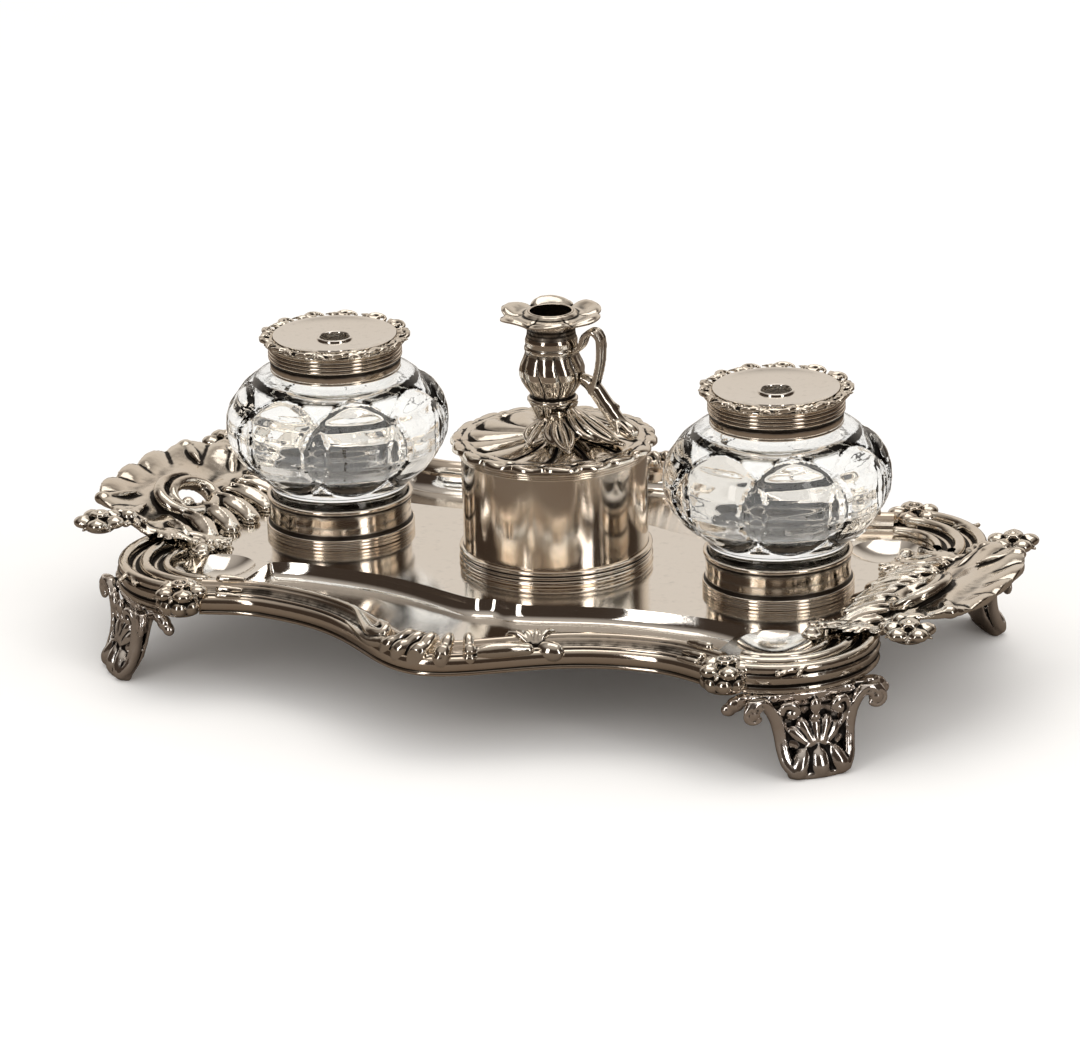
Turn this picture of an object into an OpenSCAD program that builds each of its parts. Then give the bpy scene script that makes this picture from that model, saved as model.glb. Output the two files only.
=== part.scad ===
// Desk inkstand: a serpentine tray on four scroll feet, with two cut-glass bottles
// in ring sockets and a wafer box whose cover carries a taperstick.
// The tray's middle lies over the origin, the table is at z = 0 and the front faces -y.

/* [Tray] */
// Height of the tray's flat top above the table
plate_top = 32; // [28:0.5:36]
// Thickness of the tray's sheet
sheet = 1.4; // [1:0.1:1.8]
// Half width of the tray at its waists, out to the rim's face
waist_y = 74; // [70:1:78]
// How far the middle of the long sides bows out past the waists
bow_y = 30; // [20:1:34]
// Reach of that bow along the side
bow_x = 35.5; // [30:0.5:38]
// Distance of the corner scrolls' centres from the middle, along the tray
scroll_x = 100; // [98:0.5:106]
// Distance of the corner scrolls' centres from the middle, across the tray
scroll_y = 47; // [45:0.5:50]
// Outer radius of the corner scrolls
scroll_r = 34; // [32:0.5:36]
// Width of the moulding on the long sides
rim_w = 11.5; // [10.5:0.1:13]
// Height of the mouldings above the plate
rim_h = 4.6; // [3.5:0.1:6]
// Depth of the mouldings below the plate's top
rim_drop = 5; // [4:0.1:6]
// How far the mouldings' outer faces stand out past the sheet's edge
rim_lap = 4; // [3:0.1:4.5]

/* [Pen troughs] */
// Half length of a pen trough
trough_x = 86; // [70:1:87]
// Distance of a trough's back edge from the tray's middle line, at its waists
trough_back = 34; // [32:0.5:38]
// How far that edge bows out at the middle
trough_bow = 11.5; // [6:0.5:14]
// Depth of the troughs
trough_d = 5.2; // [4.6:0.1:6]
// Radius of the round dishes in the corners
dish_r = 12; // [9:0.5:12.5]
// Depth of those dishes
dish_d = 4.2; // [3:0.1:5]

/* [Shell handles] */
// Distance of a shell's outer tips from the tray's middle
shell_tip = 161; // [156:1:168]
// Half width of a shell
shell_y = 40; // [36:0.5:41]
// Height of a shell's edge above the plate
shell_h = 11; // [8:0.5:14]
// Number of flutes in a shell
shell_flutes = 11; // [7:2:13]
// Thickness of the shells
shell_t = 2.6; // [2:0.1:3.5]
// Length of the pierced opening
pierce_l = 17; // [14:0.5:18]
// Width of the pierced opening
pierce_w = 9.4; // [7:0.1:10]
// How far the opening lies in front of the shell's middle line
pierce_y = 6; // [4:0.5:7]
// Length of the leaves that run in over the plate
shell_leaf_l = 19; // [17:0.5:21]
// Width of those leaves
shell_leaf_w = 11; // [10:0.5:12]
// Height of those leaves
shell_leaf_h = 5.6; // [5:0.1:6.5]

/* [Rosettes and feet] */
// Radius of a rosette over its petals
rosette_r = 9.2; // [8:0.1:10]
// Height of a rosette
rosette_h = 7; // [5:0.5:9]
// Distance of a foot's toe from its corner scroll's centre
toe_out = 37; // [34:0.5:40]
// Half width of a foot under the rim
foot_w = 21; // [17:0.5:24]
// Half width of a foot's toe
toe_w = 10; // [8:0.5:12]
// Thickness of a foot's shield
foot_t = 3; // [2.6:0.1:3.6]

/* [Sockets] */
// Distance between the two bottles' axes
bottle_gap = 160; // [150:1:166]
// How far the row of bottles and box stands behind the tray's middle
row_y = 3; // [0:0.5:4]
// Height of a bottle socket
socket_h = 13; // [10:0.5:15]
// Thickness of a socket's wall
socket_t = 0.9; // [0.8:0.1:1.4]
// Thickness of a socket's floor
socket_floor = 1.2; // [1:0.1:1.8]
// Radius of the threaded studs under the sockets and the box
stud_r = 2.4; // [2:0.1:3]
// Length of the studs below the tray's sheet
stud_l = 6.5; // [5:0.5:8]
// Thickness of the nuts
nut_h = 3.6; // [3:0.1:4.5]
// Radius of the nuts
nut_r = 6.5; // [5:0.1:8]

/* [Bottles] */
// Radius of a bottle's foot
foot_r = 22.7; // [21:0.1:24]
// Height of the glass foot
foot_h = 16.6; // [15:0.1:20]
// Largest radius of the bulb
bulb_r = 37.4; // [34:0.1:39]
// Height of the bulb
bulb_h = 38.6; // [34:0.1:42]
// Number of cut lobes round the bulb
lobes = 8; // [6:1:10]
// Depth of the cuts between the lobes
cut_d = 1.9; // [0.5:0.1:2.2]
// Turn of the lobes on the left bottle
left_turn = -7.2; // [-22:0.1:22]
// Turn of the lobes on the right bottle
right_turn = -11.7; // [-22:0.1:22]
// Radius of the glass neck
neck_r = 20; // [18:0.1:20.5]
// Height of the glass neck
neck_h = 8.6; // [7:0.1:11]
// Radius of the bottle's mouth
mouth_r = 15.4; // [12:0.1:16]
// Thickness of the glass round the bulb
glass_t = 5; // [3:0.1:6]
// Radius of a neck collar
collar_r = 21.9; // [21.8:0.1:24]
// Thickness of the collar's sheet
collar_t = 0.8; // [0.6:0.1:1]

/* [Quill lids] */
// Radius of the lid's dish
dish_lid_r = 20.8; // [19:0.1:22]
// Radius of the lid over its scroll border
lid_r = 25.3; // [24:0.1:28]
// Height of the scroll border
border_h = 3.2; // [2.5:0.1:4]
// Number of scrolls round the border
lid_scrolls = 13; // [11:1:15]
// Radius of the quill hole
quill_r = 4.9; // [3:0.1:6]
// Thickness of the lid's sheet
lid_t = 0.9; // [0.7:0.1:1.2]
// Depth of the flange inside the mouth
bezel_h = 6; // [4:0.5:7]

/* [Wafer box] */
// Outer radius of the box
box_r = 30.7; // [28:0.1:32]
// Height of the box
box_h = 39.8; // [34:0.1:44]
// Thickness of the box's wall
box_t = 1.1; // [0.8:0.1:1.6]
// Height of the reeded base moulding
base_h = 5.6; // [4:0.1:8]
// Number of reeds in the base moulding
base_reeds = 4; // [3:1:5]
// Height of the upper moulding
top_h = 3.2; // [2:0.1:5]
// How far the mouldings stand out from the wall
moulding_w = 1.3; // [1:0.1:2]
// Radius of the cover over its scallops
cover_r = 34.3; // [33.8:0.1:37]
// Number of scallops round the cover
scallops = 18; // [12:1:22]
// Thickness of the cover's edge
cover_t = 1.8; // [1.4:0.1:2.4]
// Rise of the cover from its edge to its middle
cover_rise = 1.9; // [1.2:0.1:3]

/* [Taperstick] */
// Height of the vase
vase_h = 31.5; // [28:0.5:36]
// Largest radius of the vase
vase_r = 11; // [10.4:0.1:12]
// Number of lobes round the vase
vase_lobes = 8; // [6:1:10]
// Radius of the hole that holds the taper
taper_r = 6.9; // [5:0.1:6.9]
// Wall of the nozzle's tube
tube_t = 0.6; // [0.5:0.1:0.7]
// Depth of the nozzle's tube in the vase
tube_in = 16; // [12:0.5:20]
// Height of the nozzle's neck above the vase
nozzle_h = 9; // [7:0.5:11]
// Radius of the drip pan over its petals
pan_r = 17.8; // [16:0.1:19]
// Number of petals round the drip pan
petals = 6; // [5:1:8]
// Reach of the loop handle from the vase's axis
loop_x = 18; // [17.6:0.1:20]
// Width of the loop handle
loop_w = 4.2; // [3:0.1:6]
// Reach of the leafy stem from the vase's axis
stem_x = 28; // [25:0.5:31]
// Height of the strap loop
loop_h = 23; // [21:0.5:25]

/* [Fits] */
// Gap between pieces that lift apart
lift_gap = 0.35; // [0.3:0.05:0.4]
// Running gap between the nozzle's tube and the vase
tube_gap = 0.09; // [0.04:0.01:0.1]
// Gap between pieces that are soldered or cemented side by side
seam = 0.12; // [0.08:0.01:0.2]

/* [Hidden] */
$fn = 64;
silver = [0.80, 0.76, 0.70];
dark_silver = [0.55, 0.50, 0.44];
bright_silver = [0.88, 0.85, 0.80];
glass = [0.82, 0.88, 0.90, 0.45];
plaster = [0.93, 0.92, 0.88];

bottle_x = bottle_gap / 2;
cut_more = 1;

// The outline of the tray. x runs along a long side, u runs in from the rim's outer face.
flare_x = 70;
flare_y = scroll_y + scroll_r - waist_y;
scroll_from = -22;
scroll_to = 101;
sheet_end = scroll_x + (scroll_r - rim_lap) * cos(scroll_from - 3);

function ease(t) = let (c = min(1, max(0, t))) c * c * (3 - 2 * c);
function edge_y(x) = waist_y + bow_y * exp(-pow(x / bow_x, 2))
    + flare_y * ease((abs(x) - flare_x) / (scroll_x - flare_x));
function edge_slope(x) = (edge_y(x + 0.05) - edge_y(x - 0.05)) / 0.1;
function edge_at(x, u) = let (s = edge_slope(x), k = sqrt(1 + s * s))
    [x + u * s / k, -edge_y(x) + u / k];

function mirror_x(list) = [for (p = list) [-p[0], p[1]]];
function mirror_y(list) = [for (p = list) [p[0], -p[1]]];
function backwards(list) = [for (i = [len(list) - 1 : -1 : 0]) list[i]];

sheet_step = 5;
sheet_quarter = concat(
    [for (x = [0 : sheet_step : scroll_x - sheet_step]) edge_at(x, rim_lap)],
    [for (a = [-90 : 5 : -scroll_from + 3])
        [scroll_x + (scroll_r - rim_lap) * cos(a), -scroll_y + (scroll_r - rim_lap) * sin(a)]]);
sheet_half = concat(sheet_quarter, backwards(mirror_y(sheet_quarter)));
sheet_outline = concat(sheet_half, backwards(mirror_x(sheet_half)));

// A closed solid stretched over rings of points. All rings have as many points as the first.
module skin(rings, loop = false) {
    n = len(rings[0]);
    m = len(rings);
    points = [for (r = rings) each r];
    sides = [for (i = [0 : loop ? m - 1 : m - 2], j = [0 : n - 1])
        let (k = (j + 1) % n, here = i * n, next = ((i + 1) % m) * n)
        each [[here + j, next + k, here + k], [here + j, next + j, next + k]]];
    top = (m - 1) * n;
    caps = loop ? [] : [for (j = [1 : n - 2]) each [[0, j, j + 1], [top, top + j + 1, top + j]]];
    polyhedron(points, concat(sides, caps), convexity = 10);
}

// A ring of points round the z axis, from a radius and a height that may change with the angle
function ring(n, r, z) = [for (i = [0 : n - 1]) let (a = 360 * i / n) [r(a) * cos(a), r(a) * sin(a), z(a)]];
function same(v) = function (a) v;

// A raised leaf or petal along +x with a flat underside: a drop with its thick end at the tip
module leaf(length, width, height) {
    steps = 5;
    skin([for (i = [0 : steps])
        let (t = i / steps, swell = 0.25 + 0.75 * sin(180 * pow(t, 0.75)) + (i == 0 ? 0.1 : 0),
             w = width / 2 * swell, h = height * (0.35 + 0.65 * ease(t * 1.3)) * (i == steps ? 0.5 : 1))
        [[length * t, -w, 0], [length * t, w, 0], [length * t, w * 0.8, h * 0.6],
         [length * t, w * 0.3, h], [length * t, -w * 0.3, h], [length * t, -w * 0.8, h * 0.6]]]);
}

module at_corner(sx, sy) {
    mirror([sx < 0 ? 1 : 0, 0, 0]) mirror([0, sy < 0 ? 1 : 0, 0]) children();
}

module at_row(x) {
    translate([x, row_y, plate_top]) children();
}

// Pen trough along the front. The section runs from the rim to the concave back wall.
function trough_front(x) = -edge_y(x) + rim_w * sqrt(1 + pow(edge_slope(x), 2));
function trough_rear(x) = -trough_back - trough_bow * exp(-pow(x / 30, 2)) + 2.5 * exp(-pow(x / 5, 2))
    - 3 * pow(max(0, abs(x) - 68) / 18, 2);

module trough(half, wall, lid_z) {
    steps = 16;
    deep = trough_d + wall;
    skin([for (i = [0 : steps])
        let (x = half * (2 * i / steps - 1), f = trough_front(x) - wall, r = trough_rear(x) + wall)
        [[x, f + 3, -deep], [x, r - 4, -deep], [x, r - 1.2, 1.7 - deep], [x, r, -1.1],
         [x, r, lid_z], [x, f, lid_z], [x, f, -1.1], [x, f + 0.9, 1.9 - deep]]]);
}

module dish(extra, lid_z) {
    ball = (dish_r * dish_r + dish_d * dish_d) / (2 * dish_d);
    translate([scroll_x, scroll_y, 0]) intersection() {
        translate([0, 0, ball - dish_d]) sphere(ball + extra);
        translate([0, 0, lid_z - 10]) cylinder(r = dish_r + extra + cut_more, h = 10);
    }
}

module tray_plate() {
    color(bright_silver) translate([0, 0, plate_top]) difference() {
        union() {
            translate([0, 0, -sheet]) linear_extrude(sheet) polygon(sheet_outline);
            for (sy = [-1, 1]) at_corner(1, sy) mirror([0, 1, 0])
                trough(trough_x + sheet, sheet, -sheet / 3);
            for (sx = [-1, 1], sy = [-1, 1]) at_corner(sx, sy) dish(sheet, -sheet / 3);
        }
        for (sy = [-1, 1]) at_corner(1, sy) mirror([0, 1, 0]) trough(trough_x, 0, cut_more);
        for (sx = [-1, 1], sy = [-1, 1]) at_corner(sx, sy) dish(0, cut_more);
        for (x = [-bottle_x, 0, bottle_x]) translate([x, row_y, -sheet - cut_more])
            cylinder(r = stud_r + lift_gap, h = sheet + 2 * cut_more);
    }
}

// Moulding along the front: an outer ovolo, a hollow and a high inner ridge
rim_end = scroll_x - 3 - rosette_r - seam;
rim_section = [
    [rim_lap - 2 * seam, 0], [rim_w, 0], [rim_w - 1.2, 0.5 * rim_h], [rim_w - 3.2, 0.92 * rim_h],
    [rim_w - 4.8, rim_h], [rim_w - 6.4, 0.72 * rim_h], [3.6, 0.3 * rim_h], [2.1, 0.32 * rim_h],
    [0.5, 0], [0, -0.6 * rim_drop], [0.5, -rim_drop], [rim_lap - 2 * seam, -rim_drop]];

module rim_bar() {
    steps = 28;
    skin([for (i = [0 : steps])
        let (x = rim_end * (2 * i / steps - 1))
        [for (p = rim_section) let (q = edge_at(x, p[0])) [q[0], q[1], p[1]]]]);
}

// Leaves in the middle of the bow, with a round bud to the right of them
module rim_spray() {
    leaf_spots = [[-9, -50, 9.5], [-2, -68, 10], [5, -84, 10], [12, -62, 9]];
    for (s = leaf_spots) {
        p = edge_at(s[0], rim_w - 2);
        translate([p[0], p[1], -rim_drop]) rotate(s[1]) leaf(s[2], 7, rim_drop + 3.6);
    }
    bud = edge_at(bow_x, 1.6);
    translate([bud[0], bud[1], -1.6]) intersection() {
        sphere(4.6);
        translate([-6, -9, 1.6 - rim_drop]) cube([12, 10, 12]);
    }
}

module rim(sy) {
    color(silver) at_corner(1, sy) mirror([0, 1, 0]) translate([0, 0, plate_top]) {
        rim_bar();
        difference() {
            rim_spray();
            translate([0, 0, -sheet]) linear_extrude(sheet) polygon(sheet_outline);
        }
    }
}

// Corner scroll: three round ridges on a swept band, cut off where the rosette sits
module scroll_band() {
    turn = scroll_to - scroll_from;
    rotate([0, 0, scroll_from]) {
        rotate_extrude(angle = turn) polygon([
            [scroll_r * 0.46, 0], [scroll_r * 0.47, 1], [scroll_r * 0.60, 0.9], [scroll_r * 0.68, 1.6],
            [scroll_r * 0.80, 1.7], [scroll_r * 0.88, 2.2], [scroll_r * 0.985, 1.4], [scroll_r, 0],
            [scroll_r - 0.8, -rim_drop / 2], [scroll_r - 0.2, -rim_drop],
            [scroll_r - rim_lap + 2 * seam, -rim_drop], [scroll_r - rim_lap + 2 * seam, 0]]);
        rotate_extrude(angle = turn) translate([scroll_r * 0.50, rim_h * 0.36]) circle(rim_h * 0.33);
        rotate_extrude(angle = turn) translate([scroll_r * 0.71, rim_h * 0.49]) circle(rim_h * 0.46);
        rotate_extrude(angle = turn) translate([scroll_r * 0.93, rim_h * 0.57]) circle(rim_h * 0.43);
    }
}

module scroll_room() {
    rotate([0, 0, scroll_from - 1]) rotate_extrude(angle = scroll_to - scroll_from + 2)
        translate([scroll_r * 0.4, -rim_drop - cut_more])
        square([scroll_r * 0.6 + 2 * seam, rim_drop + rim_h * 2 + 2 * cut_more]);
}

rosette_x = scroll_x - 3;
rosette_y = scroll_y + scroll_r - 1.5;

module corner_scroll(sx, sy) {
    color(silver) at_corner(sx, sy) difference() {
        translate([scroll_x, scroll_y, plate_top]) scroll_band();
        translate([rosette_x, rosette_y, plate_top - cut_more - rim_drop])
            cylinder(r = rosette_r + seam, h = rosette_h + rim_drop + 2 * cut_more);
    }
}

// Rosette: petals with dished faces round a small cup
module rosette_form(n_petals) {
    n = n_petals * 4;
    rim = function (a) rosette_r * (0.82 + 0.18 * pow(abs(sin(a * n_petals / 2)), 0.6));
    skin([
        ring(n, function (a) rim(a) * 0.86, same(0)),
        ring(n, rim, same(rosette_h * 0.3)),
        ring(n, function (a) rim(a) * 0.9, same(rosette_h * 0.62)),
        ring(n, function (a) rim(a) * 0.5, same(rosette_h * 0.4)),
        ring(n, same(rosette_r * 0.38), same(rosette_h)),
        ring(n, same(rosette_r * 0.24), same(rosette_h * 0.95)),
        ring(n, same(rosette_r * 0.14), same(rosette_h * 0.55))]);
}

module corner_rosette(sx, sy) {
    color(silver) at_corner(sx, sy) translate([rosette_x, rosette_y, plate_top]) rosette_form(5);
}

// Shell handle: a fluted fan round a pierced opening, with leaves that run in over the plate
fan_x = sheet_end - 7;
fan_reach = shell_tip - fan_x;
fan_span = 84;
fan_foot = sheet_end - 3;
end_rosette_x = fan_x + 0.62 * fan_reach;
end_rosette_y = shell_y + 0.6 * rosette_r;
ring_x = fan_x + 0.33 * fan_reach;
ring_r = 1.8;

function fan_edge(a) = let (c = pow(abs(cos(a)) / fan_reach, 3.4), s = pow(abs(sin(a)) / shell_y, 3.4))
    pow(c + s, -1 / 3.4) * (0.985 + 0.03 * abs(cos(shell_flutes * a * 90 / fan_span)));
function fan_rise(x) = 0.2 + shell_h * ease((x - fan_foot) / (0.6 * fan_reach));
function flute(a, t) = 1.5 * ease((t - 0.35) / 0.5) * (abs(cos(shell_flutes * a * 90 / fan_span)) - 0.6);

module fan() {
    steps = shell_flutes * 4;
    top = [1, 0.8, 0.6, 0.38, 0.1];
    skin([for (i = [0 : steps])
        let (a = fan_span * (1 - 2 * i / steps), e = fan_edge(a),
             at = function (t, z) let (x = fan_x + e * t * cos(a)) [x, e * t * sin(a), fan_rise(x) + z])
        concat([at(0.5, 0), at(1, 0.8)], [for (t = top) at(t, shell_t + flute(a, t))], [at(0.1, 0)])]);
}

module pierced_opening() {
    translate([ring_x, -pierce_y, -cut_more]) linear_extrude(shell_h * 2 + 2 * cut_more) hull()
        for (s = [-1, 1]) translate([0, s * (pierce_l - pierce_w) / 2]) circle(pierce_w / 2);
}

// Raised ring round the opening
module opening_ring() {
    n = 18;
    edge = function (a) pow(pow(abs(cos(a)) / (pierce_w / 2 + ring_r), 2.6)
        + pow(abs(sin(a)) / (pierce_l / 2 + ring_r), 2.6), -1 / 2.6) + 0.2;
    skin([for (i = [0 : n - 1])
        let (a = -360 * i / n, e = edge(a), z = fan_rise(ring_x + e * cos(a)) + shell_t + 0.2)
        [for (k = [0 : 5]) let (r = e + ring_r * cos(60 * k))
            [ring_x + r * cos(a), r * sin(a) - pierce_y, z + ring_r * sin(60 * k)]]], loop = true);
}

module shell_handle(sx) {
    color(silver) at_corner(sx, 1) translate([0, 0, plate_top]) difference() {
        union() {
            fan();
            opening_ring();
            for (k = [-2.5 : 1 : 2.5]) translate([fan_x + 12, k * (shell_leaf_w + 1), 0])
                rotate(180 - k * 3) leaf(shell_leaf_l - abs(k), shell_leaf_w, shell_leaf_h);
            for (s = [-1, 1]) {
                translate([end_rosette_x, s * end_rosette_y, shell_h - 3.5]) rosette_form(5);
                hull() {
                    translate([end_rosette_x - 1, s * end_rosette_y, shell_h - 1])
                        sphere(ring_r * 1.6, $fn = 6);
                    translate([end_rosette_x - 3, s * shell_y * 0.82, shell_h - 0.6])
                        sphere(ring_r * 1.5, $fn = 6);
                }
            }
        }
        pierced_opening();
        for (s = [-1, 1]) translate([scroll_x, s * scroll_y, 0]) mirror([0, s < 0 ? 1 : 0, 0]) scroll_room();
    }
}

// Foot: a shield that sweeps down to a splayed three-lobed toe. A strand runs down each edge from
// a knob, and a lobe hangs below the rim beyond it.
foot_top = plate_top - rim_drop;
foot_face = scroll_r - rim_lap - 2 * seam;

module foot_shield() {
    // height as a share of the foot, distance from the scroll's centre, half width, half thickness
    levels = [
        [0, toe_out - foot_t * 0.2, toe_w, foot_t],
        [0.15, toe_out - foot_t * 0.7, toe_w * 1.06, foot_t],
        [0.3, foot_face + foot_t * 0.75, toe_w * 1.12, foot_t * 0.8],
        [0.48, foot_face + foot_t * 0.25, foot_w * 0.57, foot_t * 0.65],
        [0.67, foot_face + foot_t * 0.15, foot_w * 0.65, foot_t * 0.65],
        [0.81, foot_face + foot_t * 0.25, foot_w * 0.78, foot_t * 0.7],
        [0.92, foot_face + foot_t * 0.3, foot_w * 0.94, foot_t * 0.8],
        [1, foot_face + foot_t * 0.2, foot_w * 1.02, foot_t * 0.95]];
    n = 10;
    skin([for (v = levels)
        [for (i = [0 : n - 1]) let (a = 360 * i / n)
            [v[1] + v[3] * cos(a) - 0.24 * v[2] * pow(sin(a), 2), v[2] * sin(a), foot_top * v[0]]]]);
}

module foot_arm() {
    // distance out, distance aside, height as a share of the foot, radius
    r = foot_t * 0.62;
    path = [
        [foot_face + foot_t, foot_w * 0.95, 0.86, r], [foot_face + foot_t, foot_w * 0.84, 0.94, r],
        [foot_face + foot_t * 0.9, foot_w * 0.66, 0.82, r],
        [foot_face + foot_t * 0.9, foot_w * 0.58, 0.6, r],
        [foot_face + foot_t * 1.1, foot_w * 0.55, 0.38, r], [toe_out - foot_t * 0.6, toe_w * 1.04, 0.2, r],
        [toe_out, toe_w * 0.9, 0.1, r]];
    last = len(path) - 1;
    sides = 6;
    skin([for (i = [0 : last])
        let (p = path[i], q = path[min(last, i + 1)], o = path[max(0, i - 1)],
             d = atan2((q[2] - o[2]) * foot_top, q[1] - o[1]))
        [for (k = [0 : sides - 1]) let (t = 360 * k / sides)
            [p[0] + p[3] * cos(t), p[1] + p[3] * sin(t) * sin(d),
             p[2] * foot_top - p[3] * sin(t) * cos(d)]]]);
}

module foot_knob() {
    translate([foot_face + foot_t * 1.1, foot_w, foot_top * 0.84]) sphere(foot_t * 1.05, $fn = 8);
}

module foot_lobe() {
    hull() {
        translate([foot_face + foot_t * 0.5, foot_w * 0.9, foot_top * 0.95])
            sphere(foot_t * 0.7, $fn = 6);
        translate([foot_face - foot_t * 0.3, foot_w * 1.24, foot_top * 0.84])
            sphere(foot_t * 0.6, $fn = 6);
    }
}

module foot_form() {
    foot_shield();
    for (s = [0, 1]) mirror([0, s, 0]) {
        foot_arm();
        foot_knob();
        foot_lobe();
    }
    for (k = [-1, 0, 1]) hull() {
        translate([toe_out + foot_t * 0.1, k * toe_w * 0.68, toe_w * 0.3])
            sphere(toe_w * 0.34, $fn = 6);
        translate([foot_face + foot_t * 1.1, k * toe_w * 0.4, foot_top * 0.38])
            sphere(foot_t * 0.8, $fn = 6);
    }
    translate([scroll_r - rim_w, -toe_w * 0.8, foot_top])
        cube([rim_w - rim_lap, toe_w * 1.6, rim_drop - sheet]);
}

module foot(sx, sy) {
    color(dark_silver) at_corner(sx, sy) intersection() {
        translate([scroll_x, scroll_y, 0]) rotate(45) difference() {
            foot_form();
            translate([0, 0, foot_top]) difference() {
                cylinder(r = scroll_r + 9, h = 20);
                translate([0, 0, -cut_more]) cylinder(r = scroll_r - rim_lap, h = 22);
            }
        }
        cube([2 * shell_tip, 2 * shell_tip, plate_top - sheet]);
    }
}

// Bottle socket: a waisted ring with a rolled lip and a reeded foot, and a floor
socket_in = foot_r + lift_gap;
socket_r = socket_in + socket_t;

module socket(x) {
    color(silver) at_row(x) rotate_extrude() {
        polygon([
            [0, 0], [socket_r + 0.4, 0], [socket_r + 0.4, 3.4], [socket_r, 4],
            [socket_r - 0.25, socket_h * 0.6],
            [socket_r, socket_h], [socket_in, socket_h], [socket_in, socket_floor], [0, socket_floor]]);
        for (k = [0 : 2]) translate([socket_r + 0.4, 0.65 + k * 1.15]) circle(0.65);
        translate([socket_in + 0.75, socket_h - 0.2]) circle(0.75);
    }
}

module stud(x) {
    color(dark_silver) translate([x, row_y, plate_top - sheet - stud_l]) {
        cylinder(r = stud_r, h = stud_l + sheet);
    }
}

module nut(x) {
    color(dark_silver) translate([x, row_y, plate_top - sheet - nut_h]) difference() {
        cylinder(r = nut_r, h = nut_h, $fn = 6);
        translate([0, 0, -cut_more]) cylinder(r = stud_r + seam, h = nut_h + 2 * cut_more);
    }
}

// Cut-glass bottle. Each row is a height, a radius and how deep the cuts are there.
bulb_from = foot_h;
neck_from = foot_h + bulb_h;
bottle_top = neck_from + neck_h;
function bulb_row(t, r, c) = [bulb_from + bulb_h * t, r, c];
bottle_rows = [
    [0, foot_r, 0], [foot_h * 0.96, foot_r + 0.1, 0],
    bulb_row(0.10, foot_r + (bulb_r - foot_r) * 0.48, 0.5),
    bulb_row(0.22, foot_r + (bulb_r - foot_r) * 0.78, 0.8),
    bulb_row(0.38, foot_r + (bulb_r - foot_r) * 0.96, 1), bulb_row(0.52, bulb_r, 1),
    bulb_row(0.68, bulb_r - 0.8, 0.95), bulb_row(0.82, bulb_r - 3.4, 0.8), bulb_row(0.93, bulb_r - 8.4, 0.5),
    [neck_from, neck_r + 0.6, 0], [neck_from + 1, neck_r, 0], [bottle_top, neck_r, 0]];
bottle_room = [
    [0, bottle_top + cut_more], [mouth_r, bottle_top + cut_more], [mouth_r, neck_from - 1.5],
    [bulb_r - 5 - glass_t, bulb_from + bulb_h * 0.86], [bulb_r - glass_t, bulb_from + bulb_h * 0.66],
    [bulb_r - glass_t, bulb_from + bulb_h * 0.40], [foot_r + 1, bulb_from + bulb_h * 0.18],
    [foot_r * 0.4, bulb_from + bulb_h * 0.12], [0, bulb_from + bulb_h * 0.12]];

module bottle(x) {
    turn = x < 0 ? left_turn : right_turn;
    color(glass) at_row(x) translate([0, 0, socket_floor]) rotate(turn) difference() {
        skin([for (v = bottle_rows)
            ring(lobes * 4, function (a) v[1] - cut_d * v[2] * (1 - pow(abs(cos(a * lobes / 2)), 0.8)),
                same(v[0]))]);
        rotate_extrude() polygon(bottle_room);
    }
}

collar_from = socket_floor + neck_from + 0.7;
collar_to = socket_floor + bottle_top + collar_t + seam;

module collar(x) {
    color(silver) at_row(x) rotate_extrude() {
        polygon([
            [collar_r - collar_t, collar_from], [collar_r, collar_from], [collar_r, collar_to],
            [mouth_r + 0.4, collar_to], [mouth_r + 0.4, collar_to - collar_t],
            [collar_r - collar_t, collar_to - collar_t]]);
        for (k = [0 : 3]) translate([collar_r, collar_to - 0.9 - k * 1.3]) circle(0.55);
        translate([collar_r - collar_t / 2, collar_from]) circle(collar_t / 2);
    }
}

module neck_plaster(x) {
    color(plaster) at_row(x) rotate_extrude()
        translate([neck_r + seam / 2, collar_from + 0.6])
        square([collar_r - collar_t - neck_r - seam, bottle_top + socket_floor - collar_from - 0.6]);
}

// Quill lid: a hollowed dish with a raised quill hole, in a border of scrolls, on a flange
lid_seat = collar_to;

module lid_dish(x) {
    color(bright_silver) at_row(x) translate([0, 0, lid_seat]) rotate_extrude() difference() {
        union() {
            polygon([
                [quill_r, 0], [mouth_r + 1.5, 0], [dish_lid_r - seam, 1.6], [dish_lid_r - seam, 1.6 + lid_t],
                [mouth_r, 0.35 + lid_t], [quill_r + 1.6, lid_t - 0.1],
                [quill_r + 1.2, lid_t + 0.3], [quill_r, lid_t + 0.3]]);
            translate([quill_r + 0.6, lid_t + 0.2]) circle(0.55);
        }
        translate([-1, -1]) square([quill_r + 1, 10]);
    }
}

module lid_border(x) {
    n = lid_scrolls * 4;
    wave = function (a) cos(a * lid_scrolls);
    color(silver) at_row(x) translate([0, 0, lid_seat]) skin([for (i = [0 : n - 1])
        let (a = -360 * i / n, w = wave(a), v = sin(a * lid_scrolls),
            section = [[dish_lid_r, 0], [lid_r - 1.4 + 0.4 * w, 0], [lid_r - 0.5 + 0.5 * w, border_h * 0.45],
                [lid_r - 1.7 + 0.5 * w, border_h * (0.86 + 0.14 * v)],
                [dish_lid_r, border_h * (0.75 + 0.1 * w)]])
        [for (p = section) [p[0] * cos(a), p[0] * sin(a), p[1]]]], loop = true);
}

module lid_bezel(x) {
    r = mouth_r - lift_gap;
    color(silver) at_row(x) translate([0, 0, lid_seat - bezel_h]) difference() {
        cylinder(r = r, h = bezel_h);
        translate([0, 0, -cut_more]) cylinder(r = r - collar_t, h = bezel_h + 2 * cut_more);
    }
}

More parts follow.
